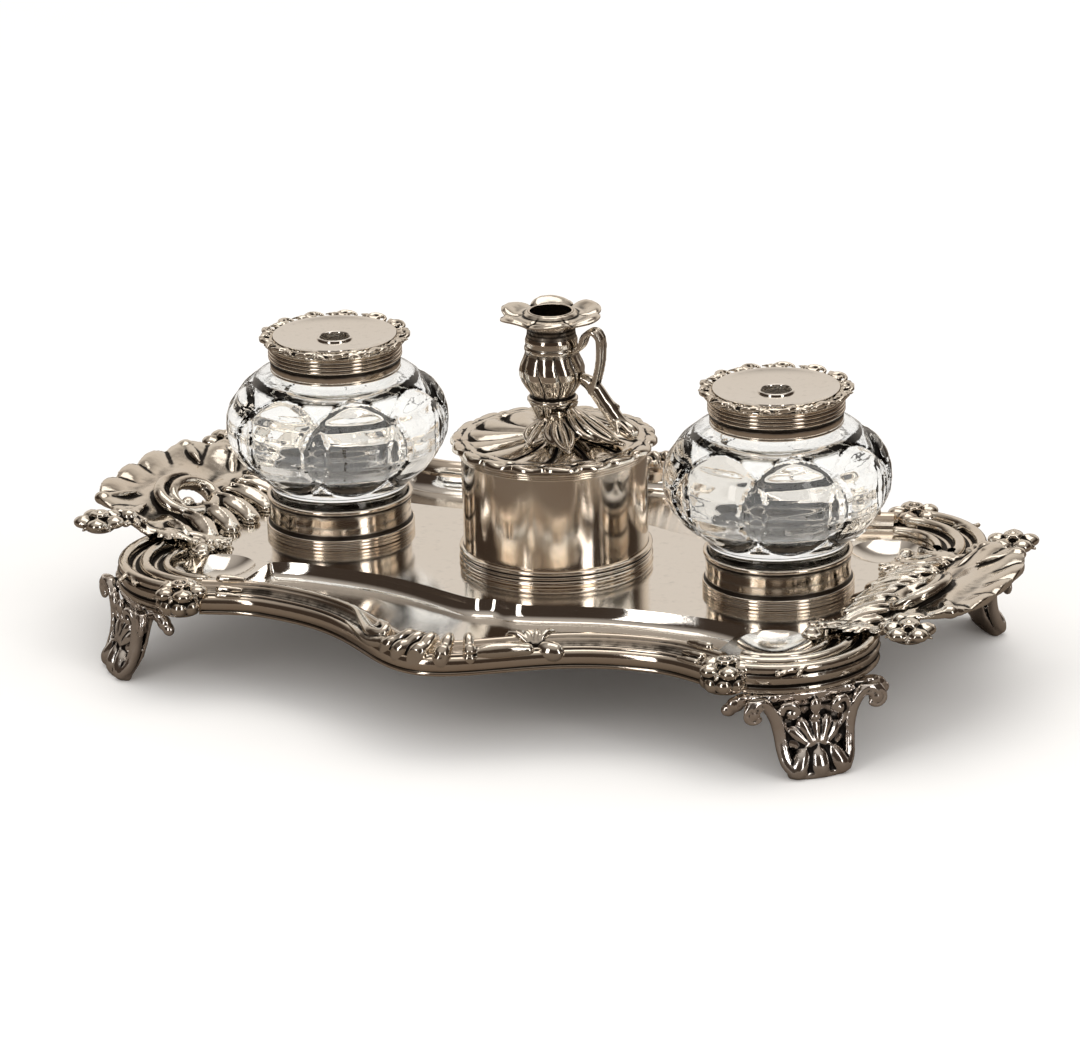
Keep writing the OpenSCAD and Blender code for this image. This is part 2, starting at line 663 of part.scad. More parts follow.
// Wafer box: a reeded base with the floor, a plain wall and a stepped upper moulding
module box_base() {
    pitch = base_h / base_reeds;
    core_r = box_r + 2 * seam + pitch * 0.65;
    color(silver) at_row(0) rotate_extrude() {
        polygon([
            [0, 0], [core_r, 0], [core_r, base_h], [box_r + seam, base_h], [box_r + seam, box_t], [0, box_t]]);
        for (k = [0 : base_reeds - 1]) translate([box_r + 2 * seam + pitch * 0.5, pitch * (k + 0.5)])
            circle(pitch * 0.5);
    }
}

module box_wall() {
    color(bright_silver) at_row(0) translate([0, 0, box_t]) difference() {
        cylinder(r = box_r, h = box_h - box_t);
        translate([0, 0, -cut_more]) cylinder(r = box_r - box_t, h = box_h + cut_more);
    }
}

module box_rim() {
    color(silver) at_row(0) rotate_extrude() {
        polygon([
            [box_r + seam, box_h - top_h], [box_r + moulding_w * 0.5, box_h - top_h],
            [box_r + moulding_w, box_h - top_h * 0.35], [box_r + moulding_w, box_h], [box_r + seam, box_h]]);
        translate([box_r + 2 * seam + top_h * 0.15, box_h - top_h * 0.72]) circle(top_h * 0.15);
    }
}

// Cover of the box: a scalloped plate that rises to the vase's seat, and a flange below it
cover_seat_r = 6;
cover_flat_r = cover_r - 5;
cover_top = box_h + cover_t;
vase_from = cover_top + cover_rise;

module cover_crown(extra, below) {
    rotate_extrude() polygon([
        [0, cover_top - below], [cover_flat_r + extra, cover_top - below],
        [cover_flat_r + extra, cover_top + extra],
        [cover_seat_r, vase_from + extra], [0, vase_from + extra]]);
}

module box_lid() {
    scallop_r = PI * cover_r / scallops * 0.58;
    color(silver) at_row(0) {
        translate([0, 0, box_h]) linear_extrude(cover_t) {
            circle(cover_r - scallop_r * 0.6);
            for (k = [0 : scallops - 1]) rotate(360 * k / scallops)
                translate([cover_r - scallop_r, 0]) circle(scallop_r);
        }
        cover_crown(0, cover_t / 2);
    }
}

module box_lid_bezel() {
    r = box_r - box_t - lift_gap;
    color(silver) at_row(0) translate([0, 0, box_h - bezel_h]) difference() {
        cylinder(r = r, h = bezel_h);
        translate([0, 0, -cut_more]) cylinder(r = r - collar_t, h = bezel_h + 2 * cut_more);
    }
}

// Taperstick. Each row of the vase is a share of its height, a radius and how deep the flutes are.
tube_r = taper_r + tube_t;
vase_bore = tube_r + tube_gap;
vase_rows = [
    [0, vase_r * 0.3, 0], [0.1, vase_r * 0.42, 0.3], [0.26, vase_r * 0.56, 0.6], [0.36, vase_r * 0.72, 0],
    [0.4, vase_r * 0.64, 0], [0.52, vase_r * 0.9, 0.8], [0.64, vase_r, 1], [0.78, vase_r * 0.94, 0.8],
    [0.9, vase_bore + 1.1, 0.2], [1, vase_bore + 1.3, 0]];

module vase_room() {
    rotate_extrude() polygon(concat([[0, vase_from - cut_more]],
        [for (v = vase_rows) [v[1] + seam, vase_from + vase_h * v[0]]], [[0, vase_from + vase_h]]));
}

module taper_vase() {
    n = vase_lobes * 4;
    color(silver) at_row(0) difference() {
        skin([for (v = vase_rows)
            ring(n, function (a) v[1] - 0.7 * v[2] * (1 - abs(cos(a * vase_lobes / 2))),
                same(vase_from + vase_h * v[0]))]);
        translate([0, 0, vase_from + vase_h - tube_in]) cylinder(r = vase_bore, h = tube_in + cut_more);
    }
}

// Strap handle and leafy stem at the vase's right. The points lie in the x-z plane.
vase_end = vase_from + vase_h;
pan_z = vase_end + nozzle_h;
loop_path = [
    [vase_bore + 0.8, vase_end - 3], [vase_bore + 3.6, vase_end - 0.6], [loop_x * 0.71, pan_z - 5.6],
    [loop_x * 0.88, pan_z - 4.2], [loop_x * 0.99, pan_z - 7], [loop_x, pan_z - 4.2 - 0.3 * loop_h],
    [loop_x * 0.98, pan_z - 4.2 - 0.5 * loop_h], [loop_x * 0.9, pan_z - 4.2 - 0.8 * loop_h],
    [loop_x * 0.8, pan_z - 4.2 - loop_h]];
stem_path = [
    [vase_r * 0.7, vase_from + vase_h * 0.66, 1.5], [vase_r + 3.5, vase_from + vase_h * 0.56, 2.1],
    [vase_r + 8.5, vase_from + vase_h * 0.36, 2.5], [stem_x - 4, vase_from + vase_h * 0.18, 2.9],
    [stem_x, vase_from + vase_h * 0.10, 2.2]];

function along(path, i) = let (a = path[max(0, i - 1)], b = path[min(len(path) - 1, i + 1)])
    atan2(b[1] - a[1], b[0] - a[0]);

module taper_handle() {
    color(silver) at_row(0) difference() {
        union() {
            skin([for (i = [0 : len(loop_path) - 1])
                let (p = loop_path[i], d = along(loop_path, i), nx = -sin(d) * 0.9, nz = cos(d) * 0.9)
                [[p[0] - nx, -loop_w / 2, p[1] - nz], [p[0] - nx * 1.4, 0, p[1] - nz * 1.4],
                 [p[0] - nx, loop_w / 2, p[1] - nz], [p[0] + nx, loop_w / 2, p[1] + nz],
                 [p[0] + nx * 1.4, 0, p[1] + nz * 1.4], [p[0] + nx, -loop_w / 2, p[1] + nz]]]);
            skin([for (i = [0 : len(stem_path) - 1])
                let (p = stem_path[i], d = along(stem_path, i))
                [for (k = [0 : 7]) let (a = 45 * k)
                    [p[0] - sin(d) * p[2] * sin(a), p[2] * 1.2 * cos(a), p[1] + cos(d) * p[2] * sin(a)]]]);
            for (k = [-1, 0, 1]) translate([2, k * 3, cover_top]) rotate(k * 22)
                leaf(stem_x - 3 - abs(k) * 6, 9, vase_h * 0.24);
        }
        vase_room();
        cover_crown(seam, cover_t + box_h);
    }
}

module nozzle_tube() {
    neck_r = vase_bore + 1.1;
    color(silver) at_row(0) rotate_extrude() polygon([
        [taper_r, vase_end - tube_in + 1], [tube_r, vase_end - tube_in + 1], [tube_r, vase_end],
        [neck_r, vase_end], [neck_r - 0.5, vase_end + nozzle_h * 0.4],
        [neck_r - 0.3, vase_end + nozzle_h * 0.7],
        [neck_r + 1, pan_z - 1.6], [tube_r, pan_z - 1.6], [tube_r, pan_z + 1.4], [taper_r, pan_z + 1.4]]);
}

module drip_pan() {
    n = petals * 6;
    color(silver) at_row(0) translate([0, 0, pan_z]) skin([for (i = [0 : n - 1])
        let (a = -360 * i / n, lobe = pow(abs(cos(a * petals / 2)), 0.7), e = pan_r * (0.84 + 0.16 * lobe),
            section = [[tube_r + seam, -1.5], [e * 0.6, -1.1], [e, -0.4 + 0.6 * lobe],
                [e - 0.4, 0.7 + 0.6 * lobe],
                [e * 0.62, 0.9 + 0.8 * lobe], [tube_r + seam, 1.2]])
        [for (p = section) [p[0] * cos(a), p[0] * sin(a), p[1]]]], loop = true);
}

tray_plate();
rim(-1);  // front_rim
rim(1);  // back_rim
corner_scroll(-1, -1);  // front_left_scroll
corner_scroll(1, -1);  // front_right_scroll
corner_scroll(-1, 1);  // back_left_scroll
corner_scroll(1, 1);  // back_right_scroll
shell_handle(-1);  // left_shell_handle
shell_handle(1);  // right_shell_handle
corner_rosette(-1, -1);  // front_left_rosette
corner_rosette(1, -1);  // front_right_rosette
corner_rosette(-1, 1);  // back_left_rosette
corner_rosette(1, 1);  // back_right_rosette
foot(-1, -1);  // front_left_foot
foot(1, -1);  // front_right_foot
foot(-1, 1);  // back_left_foot
foot(1, 1);  // back_right_foot
socket(-bottle_x);  // left_socket
socket(bottle_x);  // right_socket
stud(-bottle_x);  // left_socket_stud
stud(bottle_x);  // right_socket_stud
nut(-bottle_x);  // left_socket_nut
nut(bottle_x);  // right_socket_nut
box_base();
box_wall();
box_rim();
stud(0);  // box_stud
nut(0);  // box_nut
bottle(-bottle_x);  // left_bottle
bottle(bottle_x);  // right_bottle
collar(-bottle_x);  // left_collar
collar(bottle_x);  // right_collar
neck_plaster(-bottle_x);  // left_neck_plaster
neck_plaster(bottle_x);  // right_neck_plaster
lid_dish(-bottle_x);  // left_lid_dish
lid_dish(bottle_x);  // right_lid_dish
lid_border(-bottle_x);  // left_lid_border
lid_border(bottle_x);  // right_lid_border
lid_bezel(-bottle_x);  // left_lid_bezel
lid_bezel(bottle_x);  // right_lid_bezel
box_lid();
box_lid_bezel();
taper_vase();
taper_handle();
nozzle_tube();
drip_pan();
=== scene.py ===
import bpy
import bmesh
import numpy as np
from math import atan2, ceil, cos, dist, exp, pi, radians, sin, sqrt
from mathutils import Matrix, Vector
from mathutils.geometry import tessellate_polygon


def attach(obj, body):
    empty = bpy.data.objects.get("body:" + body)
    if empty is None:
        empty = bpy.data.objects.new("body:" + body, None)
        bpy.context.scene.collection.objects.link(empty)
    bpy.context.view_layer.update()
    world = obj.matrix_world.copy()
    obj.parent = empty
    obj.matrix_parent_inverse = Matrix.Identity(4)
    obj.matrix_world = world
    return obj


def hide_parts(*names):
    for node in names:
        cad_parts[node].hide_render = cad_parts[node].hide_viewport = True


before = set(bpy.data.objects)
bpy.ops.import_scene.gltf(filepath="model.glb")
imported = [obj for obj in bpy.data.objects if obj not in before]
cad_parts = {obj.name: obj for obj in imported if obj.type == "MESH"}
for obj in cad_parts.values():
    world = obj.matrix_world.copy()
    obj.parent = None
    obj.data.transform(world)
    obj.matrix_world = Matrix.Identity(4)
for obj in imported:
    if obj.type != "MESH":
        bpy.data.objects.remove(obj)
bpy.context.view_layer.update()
print("frame loaded")

# Sizes are in millimetres here and become metres when a mesh is made
mm = 0.001
plateTop = 32.0
rowY = 3.0
bottleX = 80.0
scrollX, scrollY, scrollR = 100.0, 47.0, 34.0
corners = [("frontLeft", "front_left", -1, -1), ("frontRight", "front_right", 1, -1),
           ("backLeft", "back_left", -1, 1), ("backRight", "back_right", 1, 1)]


def ease(t):
    t = min(1.0, max(0.0, t))
    return t * t * (3 - 2 * t)


# Node trees

class Signal:
    # An output of a node. A sum with it adds a math node to its tree.
    def __init__(self, tree, socket):
        self.tree = tree
        self.socket = socket

    def maths(self, operation, *others):
        return signal(self.tree, "Math", dict(enumerate((self, *others))), operation=operation)

    def __add__(self, other):
        return self.maths("ADD", other)

    def __sub__(self, other):
        return self.maths("SUBTRACT", other)

    def __rsub__(self, other):
        return signal(self.tree, "Math", {0: other, 1: self}, operation="SUBTRACT")

    def __mul__(self, other):
        return self.maths("MULTIPLY", other)

    def __truediv__(self, other):
        return self.maths("DIVIDE", other)

    def __rtruediv__(self, other):
        return signal(self.tree, "Math", {0: other, 1: self}, operation="DIVIDE")

    def __pow__(self, other):
        return self.maths("POWER", other)

    def __abs__(self):
        return self.maths("ABSOLUTE")


def addNode(tree, kind, inputs=None, **settings):
    # A kind without the word Node in it is a shader node
    node = tree.nodes.new(kind if "Node" in kind else "ShaderNode" + kind)
    for key, value in settings.items():
        setattr(node, key, value)
    for key, value in (inputs or {}).items():
        if isinstance(value, Signal):
            tree.links.new(value.socket, node.inputs[key])
        else:
            node.inputs[key].default_value = value
    return node


def signal(tree, kind, inputs=None, output=0, **settings):
    return Signal(tree, addNode(tree, kind, inputs, **settings).outputs[output])


def split(vector):
    return [Signal(vector.tree, part) for part in addNode(vector.tree, "SeparateXYZ", {0: vector}).outputs]


def noise(place, scale, detail=2.0, **more):
    return signal(place.tree, "TexNoise", {"Vector": place, "Scale": scale, "Detail": detail, **more}, "Fac")


def mapped(value, old=(0.0, 1.0), new=(0.0, 1.0), smooth=False):
    inputs = {"Value": value, "From Min": old[0], "From Max": old[1], "To Min": new[0], "To Max": new[1]}
    kind = "SMOOTHSTEP" if smooth else "LINEAR"
    return signal(value.tree, "MapRange", inputs, interpolation_type=kind)


def blend(factor, first, second):
    first, second = ((*c, 1) if isinstance(c, tuple) else c for c in (first, second))
    return signal(factor.tree, "Mix", {0: factor, 6: first, 7: second}, 2, data_type="RGBA")


def relief(height, strength, distance, **under):
    inputs = {"Height": height, "Strength": strength, "Distance": distance, **under}
    return signal(height.tree, "Bump", inputs)


def rays(tree, kind):
    return signal(tree, "LightPath", output=kind)


def newMaterial(name):
    material = bpy.data.materials.new(name)
    material.use_nodes = True
    tree = material.node_tree
    tree.nodes.clear()
    return material, signal(tree, "TexCoord", output="Object")


def addShader(tree, kind="BsdfPrincipled", **inputs):
    return signal(tree, kind, {name.replace("_", " "): value for name, value in inputs.items()})


silverLooks = {
    "tarnishedSilver": dict(clean=(0.17, 0.145, 0.12), warm=(0.11, 0.085, 0.065), oxide=(0.03, 0.025, 0.02),
                            rough=0.34, roughOxide=0.6, wave=0.05, waveScale=90.0, cloud=0.5),
    "polishedSilver": dict(clean=(0.94, 0.91, 0.865), warm=(0.86, 0.77, 0.67), oxide=(0.10, 0.085, 0.07),
                           rough=0.06, roughOxide=0.4, wave=0.025, waveScale=45.0, cloud=0.10),
    "castSilver": dict(clean=(0.88, 0.825, 0.74), warm=(0.66, 0.49, 0.35), oxide=(0.022, 0.018, 0.015),
                       rough=0.12, roughOxide=0.5, wave=0.16, waveScale=260.0, cloud=0.32),
    "footSilver": dict(clean=(0.96, 0.93, 0.90), warm=(0.68, 0.50, 0.40), oxide=(0.03, 0.027, 0.026),
                       rough=0.15, roughOxide=0.5, wave=0.18, waveScale=260.0, cloud=0.5),
    "warmSilver": dict(clean=(0.88, 0.80, 0.70), warm=(0.66, 0.47, 0.33), oxide=(0.05, 0.042, 0.035),
                       rough=0.09, roughOxide=0.4, wave=0.05, waveScale=90.0, cloud=0.35),
}
wear = dict(cloudScale=38.0, cloudStart=0.42, grimeScale=420.0, grimeGain=0.35, dirtFull=0.42,
            smearScale=110.0, smearGain=0.9, scratchScale=900.0, scratch=0.05)


def makeSilver(name, look):
    # Silver that is warmer in clouds and dark where its point value "hollow" is high
    material, place = newMaterial(name)
    tree = place.tree
    hollow = signal(tree, "Attribute", output="Fac", attribute_name="hollow")
    cloud = noise(place, wear["cloudScale"], 5.0, Roughness=0.62) - wear["cloudStart"]
    tint = (cloud.maths("SMOOTH_MAX", 0.0, 0.1) * (look["cloud"] * 3)).maths("MINIMUM", 1.0)
    grime = noise(place, wear["grimeScale"], 4.0) - 0.5
    dirt = mapped(hollow + grime * wear["grimeGain"], (0.0, wear["dirtFull"]), smooth=True)
    colour = blend(dirt, blend(tint, look["clean"], look["warm"]), look["oxide"])
    rough = mapped(dirt, new=(look["rough"], look["roughOxide"]))
    smear = noise(place, wear["smearScale"], 6.0) - 0.5
    rough = smear.maths("MULTIPLY_ADD", look["rough"] * wear["smearGain"], rough)
    rub = addShader(tree, "Mapping", Vector=place, Scale=(1.0, 7.0, 3.0), Rotation=(0.3, 0.2, 0.6))
    swell = relief(noise(place, look["waveScale"], 1.0), look["wave"], 0.001)
    skin = relief(noise(rub, wear["scratchScale"], 3.0), wear["scratch"], 0.0002, Normal=swell)
    shader = addShader(tree, Base_Color=colour, Metallic=1.0, Roughness=rough, Normal=skin)
    addNode(tree, "OutputMaterial", {"Surface": shader})
    return material


glassLook = dict(tint=(0.985, 0.99, 0.985, 1), shadow=(0.94, 0.95, 0.95, 1), bend=1.52, ripple=0.06, haze=0.05)


def makeGlass():
    material, place = newMaterial("cutGlass")
    tree = place.tree
    rough = mapped(noise(place, 70.0, 6.0), (0.5, 0.8), (0.0, glassLook["haze"]))
    skin = relief(noise(place, 180.0), glassLook["ripple"], 0.001)
    shader = addShader(tree, Base_Color=glassLook["tint"], Transmission_Weight=1.0, IOR=glassLook["bend"],
                       Roughness=rough, Normal=skin)
    clear = addShader(tree, "BsdfTransparent", Color=glassLook["shadow"])
    soft = rays(tree, "Is Shadow Ray").maths("MAXIMUM", rays(tree, "Is Diffuse Ray"))
    mix = signal(tree, "MixShader", {0: soft, 1: shader, 2: clear})
    addNode(tree, "OutputMaterial", {"Surface": mix})
    return material


def makePlaster():
    material, place = newMaterial("plaster")
    grain = noise(place, 900.0, 6.0)
    stain = blend(grain, (0.86, 0.83, 0.76), (0.95, 0.93, 0.89))
    shader = addShader(place.tree, Base_Color=stain, Roughness=0.85, Normal=relief(grain, 0.4, 0.0004))
    addNode(place.tree, "OutputMaterial", {"Surface": shader})
    return material


materials = {name: makeSilver(name, look) for name, look in silverLooks.items()}
materials["cutGlass"] = makeGlass()
materials["plaster"] = makePlaster()
print("materials ready")


# Shapes: a shape is a pair of points and faces, in millimetres

def polar(r, angle, z=0.0):
    return r * cos(angle), r * sin(angle), z


def loft(rings, closed=False):
    count = len(rings[0])
    points = np.concatenate([np.asarray(ring, float) for ring in rings])
    faces = []
    total = len(rings)
    for i in range(total if closed else total - 1):
        a, b = i * count, ((i + 1) % total) * count
        faces += [(a + j, a + (j + 1) % count, b + (j + 1) % count, b + j) for j in range(count)]
    if not closed:
        faces.append(tuple(range(count - 1, -1, -1)))
        faces.append(tuple(range((total - 1) * count, total * count)))
    return points, faces


def revolve(section, steps=160, x=0.0, y=rowY):
    rings = []
    for i in range(steps):
        a = 2 * pi * i / steps
        rings.append([(x + r * cos(a), y + r * sin(a), z) for r, z in section])
    return loft(rings[::-1], closed=True)


def tube(path, radii, sides=10, flat=1.0, up=(0, 0, 1)):
    # A round bar along a path with rounded ends. flat below 1 squashes it along up.
    path = np.asarray(path, float)
    count = len(path)
    radii = np.asarray(radii, float) * np.ones(count)
    way = np.gradient(path, axis=0)
    way /= np.linalg.norm(way, axis=1)[:, None] + 1e-9
    caps = (0.97, 0.75, 0.4)
    stations = [(0, -1, t) for t in caps] + [(i, 0, 0) for i in range(count)]
    stations += [(count - 1, 1, t) for t in caps[::-1]]
    rings = []
    for i, side, t in stations:
        d = way[i]
        u = np.cross(d, np.asarray(up, float))
        if np.linalg.norm(u) < 1e-3:
            u = np.cross(d, (1.0, 0.3, 0.0))
        u /= np.linalg.norm(u)
        v = np.cross(u, d)
        r = radii[i] * sqrt(1 - t * t)
        centre = path[i] + d * side * t * radii[i]
        rings.append([centre + r * (cos(a) * u + sin(a) * v * flat)
                      for a in (2 * pi * k / sides for k in range(sides))])
    return loft(rings)


def ball(centre, r, stretch=(1, 1, 1), sides=12):
    x, y, z = centre
    wide, deep, high = stretch
    rings = []
    for i in range(1, sides):
        b = pi * i / sides
        rings.append([(x + r * wide * sin(b) * cos(a), y + r * deep * sin(b) * sin(a), z - r * high * cos(b))
                      for a in (2 * pi * k / sides for k in range(sides))])
    return loft(rings)


def curve(points, count=24):
    # A smooth line through a few points
    points = np.asarray(points, float)
    ends = np.vstack([2 * points[0] - points[1], points, 2 * points[-1] - points[-2]])
    out = []
    for s in np.linspace(0, len(points) - 1, count):
        i = min(int(s), len(points) - 2)
        t = s - i
        a, b, c, d = ends[i:i + 4]
        square, cube = 2 * a - 5 * b + 4 * c - d, 3 * b - a - 3 * c + d
        out.append(0.5 * (2 * b + (c - a) * t + square * t ** 2 + cube * t ** 3))
    return np.array(out)


def taper(count, start, middle, end):
    return [start + (middle - start) * ease(2 * t) if t < 0.5 else middle + (end - middle) * ease(2 * t - 1)
            for t in (i / (count - 1) for i in range(count))]


def smoothBar(points, count, sizes, *more):
    # A tube on a smooth line, with a start, middle and end radius
    return tube(curve(points, count), taper(count, *sizes), *more)


def frond(start, heading, length, spread, ribs, thin, thick, lift=1.5, bend=25.0, fall=0.0):
    # A leaf: tapered ribs that fan out from one point and curl outwards
    parts = []
    steps = 9
    for rib in range(ribs):
        side = 2 * rib / (ribs - 1) - 1
        path = []
        stride = length * (1 - 0.32 * side * side) / (steps - 1)
        x, y, z = start
        for i in range(steps):
            t = i / (steps - 1)
            a = radians(heading + spread * side * (0.55 + 0.45 * t) + bend * side * t)
            if i:
                x += stride * cos(a)
                y += stride * sin(a)
            path.append((x, y, z + lift * sin(pi * min(1, t * 1.15)) + fall * t))
        parts.append(tube(path, taper(steps, thin, (thin + thick) * 0.5, thick), 8, 0.8))
    return parts


def moved(parts, *shift):
    return [(np.asarray(points, float) + shift, faces) for points, faces in parts]


def turned(parts, angle):
    c, s = cos(radians(angle)), sin(radians(angle))
    matrix = np.array([[c, -s, 0], [s, c, 0], [0, 0, 1]]).T
    return [(np.asarray(points) @ matrix, faces) for points, faces in parts]


def mirrored(shape, sx, sy):
    points, faces, *hollow = shape
    return (points * (sx, sy, 1), [f[::-1] for f in faces] if sx * sy < 0 else faces, *hollow)


def joined(parts):
    points, faces, base = [], [], 0
    for p, f in parts:
        points.append(np.asarray(p, float))
        faces += [tuple(i + base for i in face) for face in f]
        base += len(p)
    return np.concatenate(points), faces


def newObject(name, data):
    obj = bpy.data.objects.new(name, data)
    bpy.context.scene.collection.objects.link(obj)
    return obj


def meshOf(name, shape):
    mesh = bpy.data.meshes.new(name)
    mesh.from_pydata((np.asarray(shape[0]) * mm).tolist(), [], [tuple(int(i) for i in f) for f in shape[1]])
    return mesh


def evaluated(obj):
    # The object's mesh with its modifiers, as a plain mesh; the object goes
    graph = bpy.context.evaluated_depsgraph_get()
    mesh = bpy.data.meshes.new_from_object(obj.evaluated_get(graph))
    bpy.data.objects.remove(obj)
    return mesh


def arraysOf(mesh):
    # The mesh as a shape; the mesh goes
    points = np.empty(len(mesh.vertices) * 3)
    mesh.vertices.foreach_get("co", points)
    faces = [tuple(p.vertices) for p in mesh.polygons]
    bpy.data.meshes.remove(mesh)
    return points.reshape(-1, 3) / mm, faces


def relax(points, faces, rounds):
    edges = {(min(a, b), max(a, b)) for f in faces for a, b in zip(f, f[1:] + f[:1])}
    edges = np.array(sorted(edges))
    a, b = edges[:, 0], edges[:, 1]
    count = len(points)
    valence = np.maximum(np.bincount(a, minlength=count) + np.bincount(b, minlength=count), 1)
    p = points.copy()
    for _ in range(rounds):
        near = [np.bincount(a, p[b, k], count) + np.bincount(b, p[a, k], count) for k in range(3)]
        p += 0.5 * (np.stack(near, 1) / valence[:, None] - p)
    return p


def hollowed(points, faces, voxel, reach=1.6):
    # Adds how far each point lies in a hollow
    mesh = meshOf("probe", (points, faces))
    normals = np.empty(len(mesh.vertices) * 3)
    mesh.vertex_normals.foreach_get("vector", normals)
    bpy.data.meshes.remove(mesh)
    smooth = relax(points, faces, max(4, int((reach / voxel) ** 2 * 2)))
    depth = ((smooth - points) * normals.reshape(-1, 3)).sum(1)
    return points, faces, np.clip(depth / 0.26, -1, 1)


def cast(parts, voxel):
    # Melts overlapping shapes into one skin, and finds its hollows
    obj = newObject("melt", meshOf("melt", joined(parts)))
    melt = obj.modifiers.new("melt", "REMESH")
    melt.mode = "VOXEL"
    melt.voxel_size = voxel * mm
    points, faces = arraysOf(evaluated(obj))
    return hollowed(relax(points, faces, 1), faces, voxel)


def dense(section, gap=0.4):
    # The section with points added on its longer sides, away from the axis
    out = []
    for a, b in zip(section, section[1:] + section[:1]):
        steps = max(1, ceil(dist(a, b) / gap)) if min(a[0], b[0]) > 3 else 1
        out += [(a[0] + (b[0] - a[0]) * i / steps, a[1] + (b[1] - a[1]) * i / steps) for i in range(steps)]
    return out


def sectionHollows(section):
    # How far each point of a closed section lies in a hollow
    p = np.array(section)
    q = p.copy()
    for _ in range(16):
        q += 0.5 * ((np.roll(q, 1, 0) + np.roll(q, -1, 0)) / 2 - q)
    way = np.roll(p, -1, 0) - np.roll(p, 1, 0)
    turn = np.sign((p[:, 0] * np.roll(p[:, 1], -1) - np.roll(p[:, 0], -1) * p[:, 1]).sum())
    out = np.stack([way[:, 1], -way[:, 0]], 1) * turn / (np.linalg.norm(way, axis=1)[:, None] + 1e-9)
    return np.clip(((q - p) * out).sum(1) / 0.2, -1, 1)


def setHollow(mesh, values):
    mesh.attributes.new("hollow", "FLOAT", "POINT").data.foreach_set("value", np.asarray(values, np.float32))


def finishPiece(name, node, mesh, material, body, sharp=None):
    mesh.materials.clear()
    mesh.materials.append(materials[material])
    mesh.polygons.foreach_set("use_smooth", [True] * len(mesh.polygons))
    if sharp:
        mesh.set_sharp_from_angle(angle=radians(sharp))
    mesh.name = name
    obj = newObject(name, mesh)
    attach(obj, body)
    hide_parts(node)


def addPiece(name, node, shape, body="tray", material="castSilver", sharp=None):
    mesh = meshOf(name, shape)
    setHollow(mesh, shape[2])
    finishPiece(name, node, mesh, material, body, sharp)


def tidyMesh(mesh):
    bm = bmesh.new()
    bm.from_mesh(mesh)
    bmesh.ops.remove_doubles(bm, verts=bm.verts, dist=1e-6)
    bmesh.ops.holes_fill(bm, edges=[e for e in bm.edges if e.is_boundary], sides=0)
    bmesh.ops.recalc_face_normals(bm, faces=bm.faces)
    bm.to_mesh(mesh)
    bm.free()
    return mesh


def tidied(shape):
    return arraysOf(tidyMesh(meshOf("tidied", shape)))


# Camera, floor, room and lights

camera = dict(azimuth=25.61, elevation=19.17, roll=-1.41, distance=2072.1, right=-5.21, up=10.49,
              focal=6256.3, photoWidth=1080, sensor=36.0)
azimuth, elevation, roll = (radians(camera[key]) for key in ("azimuth", "elevation", "roll"))
back = Vector((sin(azimuth) * cos(elevation), -cos(azimuth) * cos(elevation), sin(elevation)))
level = Vector((cos(azimuth), sin(azimuth), 0))
rise = back.cross(level)
across = level * cos(roll) + rise * sin(roll)
upward = rise * cos(roll) - level * sin(roll)
aim = level * camera["right"] + Vector((0, 0, camera["up"])) + Vector((0, rowY, plateTop))
cameraData = bpy.data.cameras.new("camera")
cameraData.sensor_width = camera["sensor"]
cameraData.lens = camera["focal"] / camera["photoWidth"] * camera["sensor"]
cameraData.clip_start, cameraData.clip_end = 0.1, 60.0
cameraObject = newObject("camera", cameraData)
spot = (aim + back * camera["distance"]) * mm
cameraObject.matrix_world = Matrix([[across[i], upward[i], back[i], spot[i]] for i in range(3)] + [[0, 0, 0, 1]])
bpy.context.scene.camera = cameraObject

# The floor is white paper. To mirror rays it shows a dark brown colour instead, a painted reflection that darkens what
# the silver reflects of the floor.
floorLook = dict(half=12, paper=((0.93, 0.925, 0.92), (0.95, 0.945, 0.94)), paintedReflection=(0.15, 0.12, 0.095))
floorMesh = bpy.data.meshes.new("floor")
floorCorners = [(x * floorLook["half"], y * floorLook["half"], 0) for x, y in ((-1, -1), (1, -1), (1, 1), (-1, 1))]
floorMesh.from_pydata(floorCorners, [], [(0, 1, 2, 3)])
floor = newObject("floor", floorMesh)
floorMaterial, place = newMaterial("paper")
floorMesh.materials.append(floorMaterial)
# painted reflection: glossy rays that are not transmission rays see the dark brown colour, all other rays see the
# paper
mirrorRay = rays(place.tree, "Is Glossy Ray") - rays(place.tree, "Is Transmission Ray")
seen = blend(mirrorRay, blend(noise(place, 30.0), *floorLook["paper"]), floorLook["paintedReflection"])
paper = addShader(place.tree, Base_Color=seen, Roughness=0.9, Specular_IOR_Level=0.1)
addNode(place.tree, "OutputMaterial", {"Surface": paper})

# The room is pale behind and above the object and dim brown on the camera's side, for mirror rays.
# Other rays see a white one, and rays that have been through glass a paler one.
room = dict(pale=(0.69, 0.625, 0.555), dim=(0.045, 0.032, 0.024), white=(1.0, 0.985, 0.965), throughGlass=0.7)
world = bpy.data.worlds.new("room")
bpy.context.scene.world = world
world.use_nodes = True
tree = world.node_tree
tree.nodes.clear()
view = signal(tree, "TexCoord", output="Generated")
facing = signal(tree, "VectorMath", {0: view, 1: (back.x, back.y, 0.0)}, "Value", operation="DOT_PRODUCT")
behind = mapped(facing, (-0.4, -0.8), smooth=True)
above = mapped(split(view)[2], (0.55, 0.95), (0.0, 0.6), smooth=True)
shade = blend(behind.maths("MAXIMUM", above), room["dim"], room["pale"])
plainRay = rays(tree, "Transmission Depth").maths("MINIMUM", 1.0) * room["throughGlass"]
for kind in ("Is Camera Ray", "Is Diffuse Ray", "Is Transmission Ray"):
    plainRay = plainRay.maths("MAXIMUM", rays(tree, kind))
light = addShader(tree, "Background", Color=blend(plainRay, shade, room["white"]), Strength=1.0)
addNode(tree, "OutputWorld", {"Surface": light})

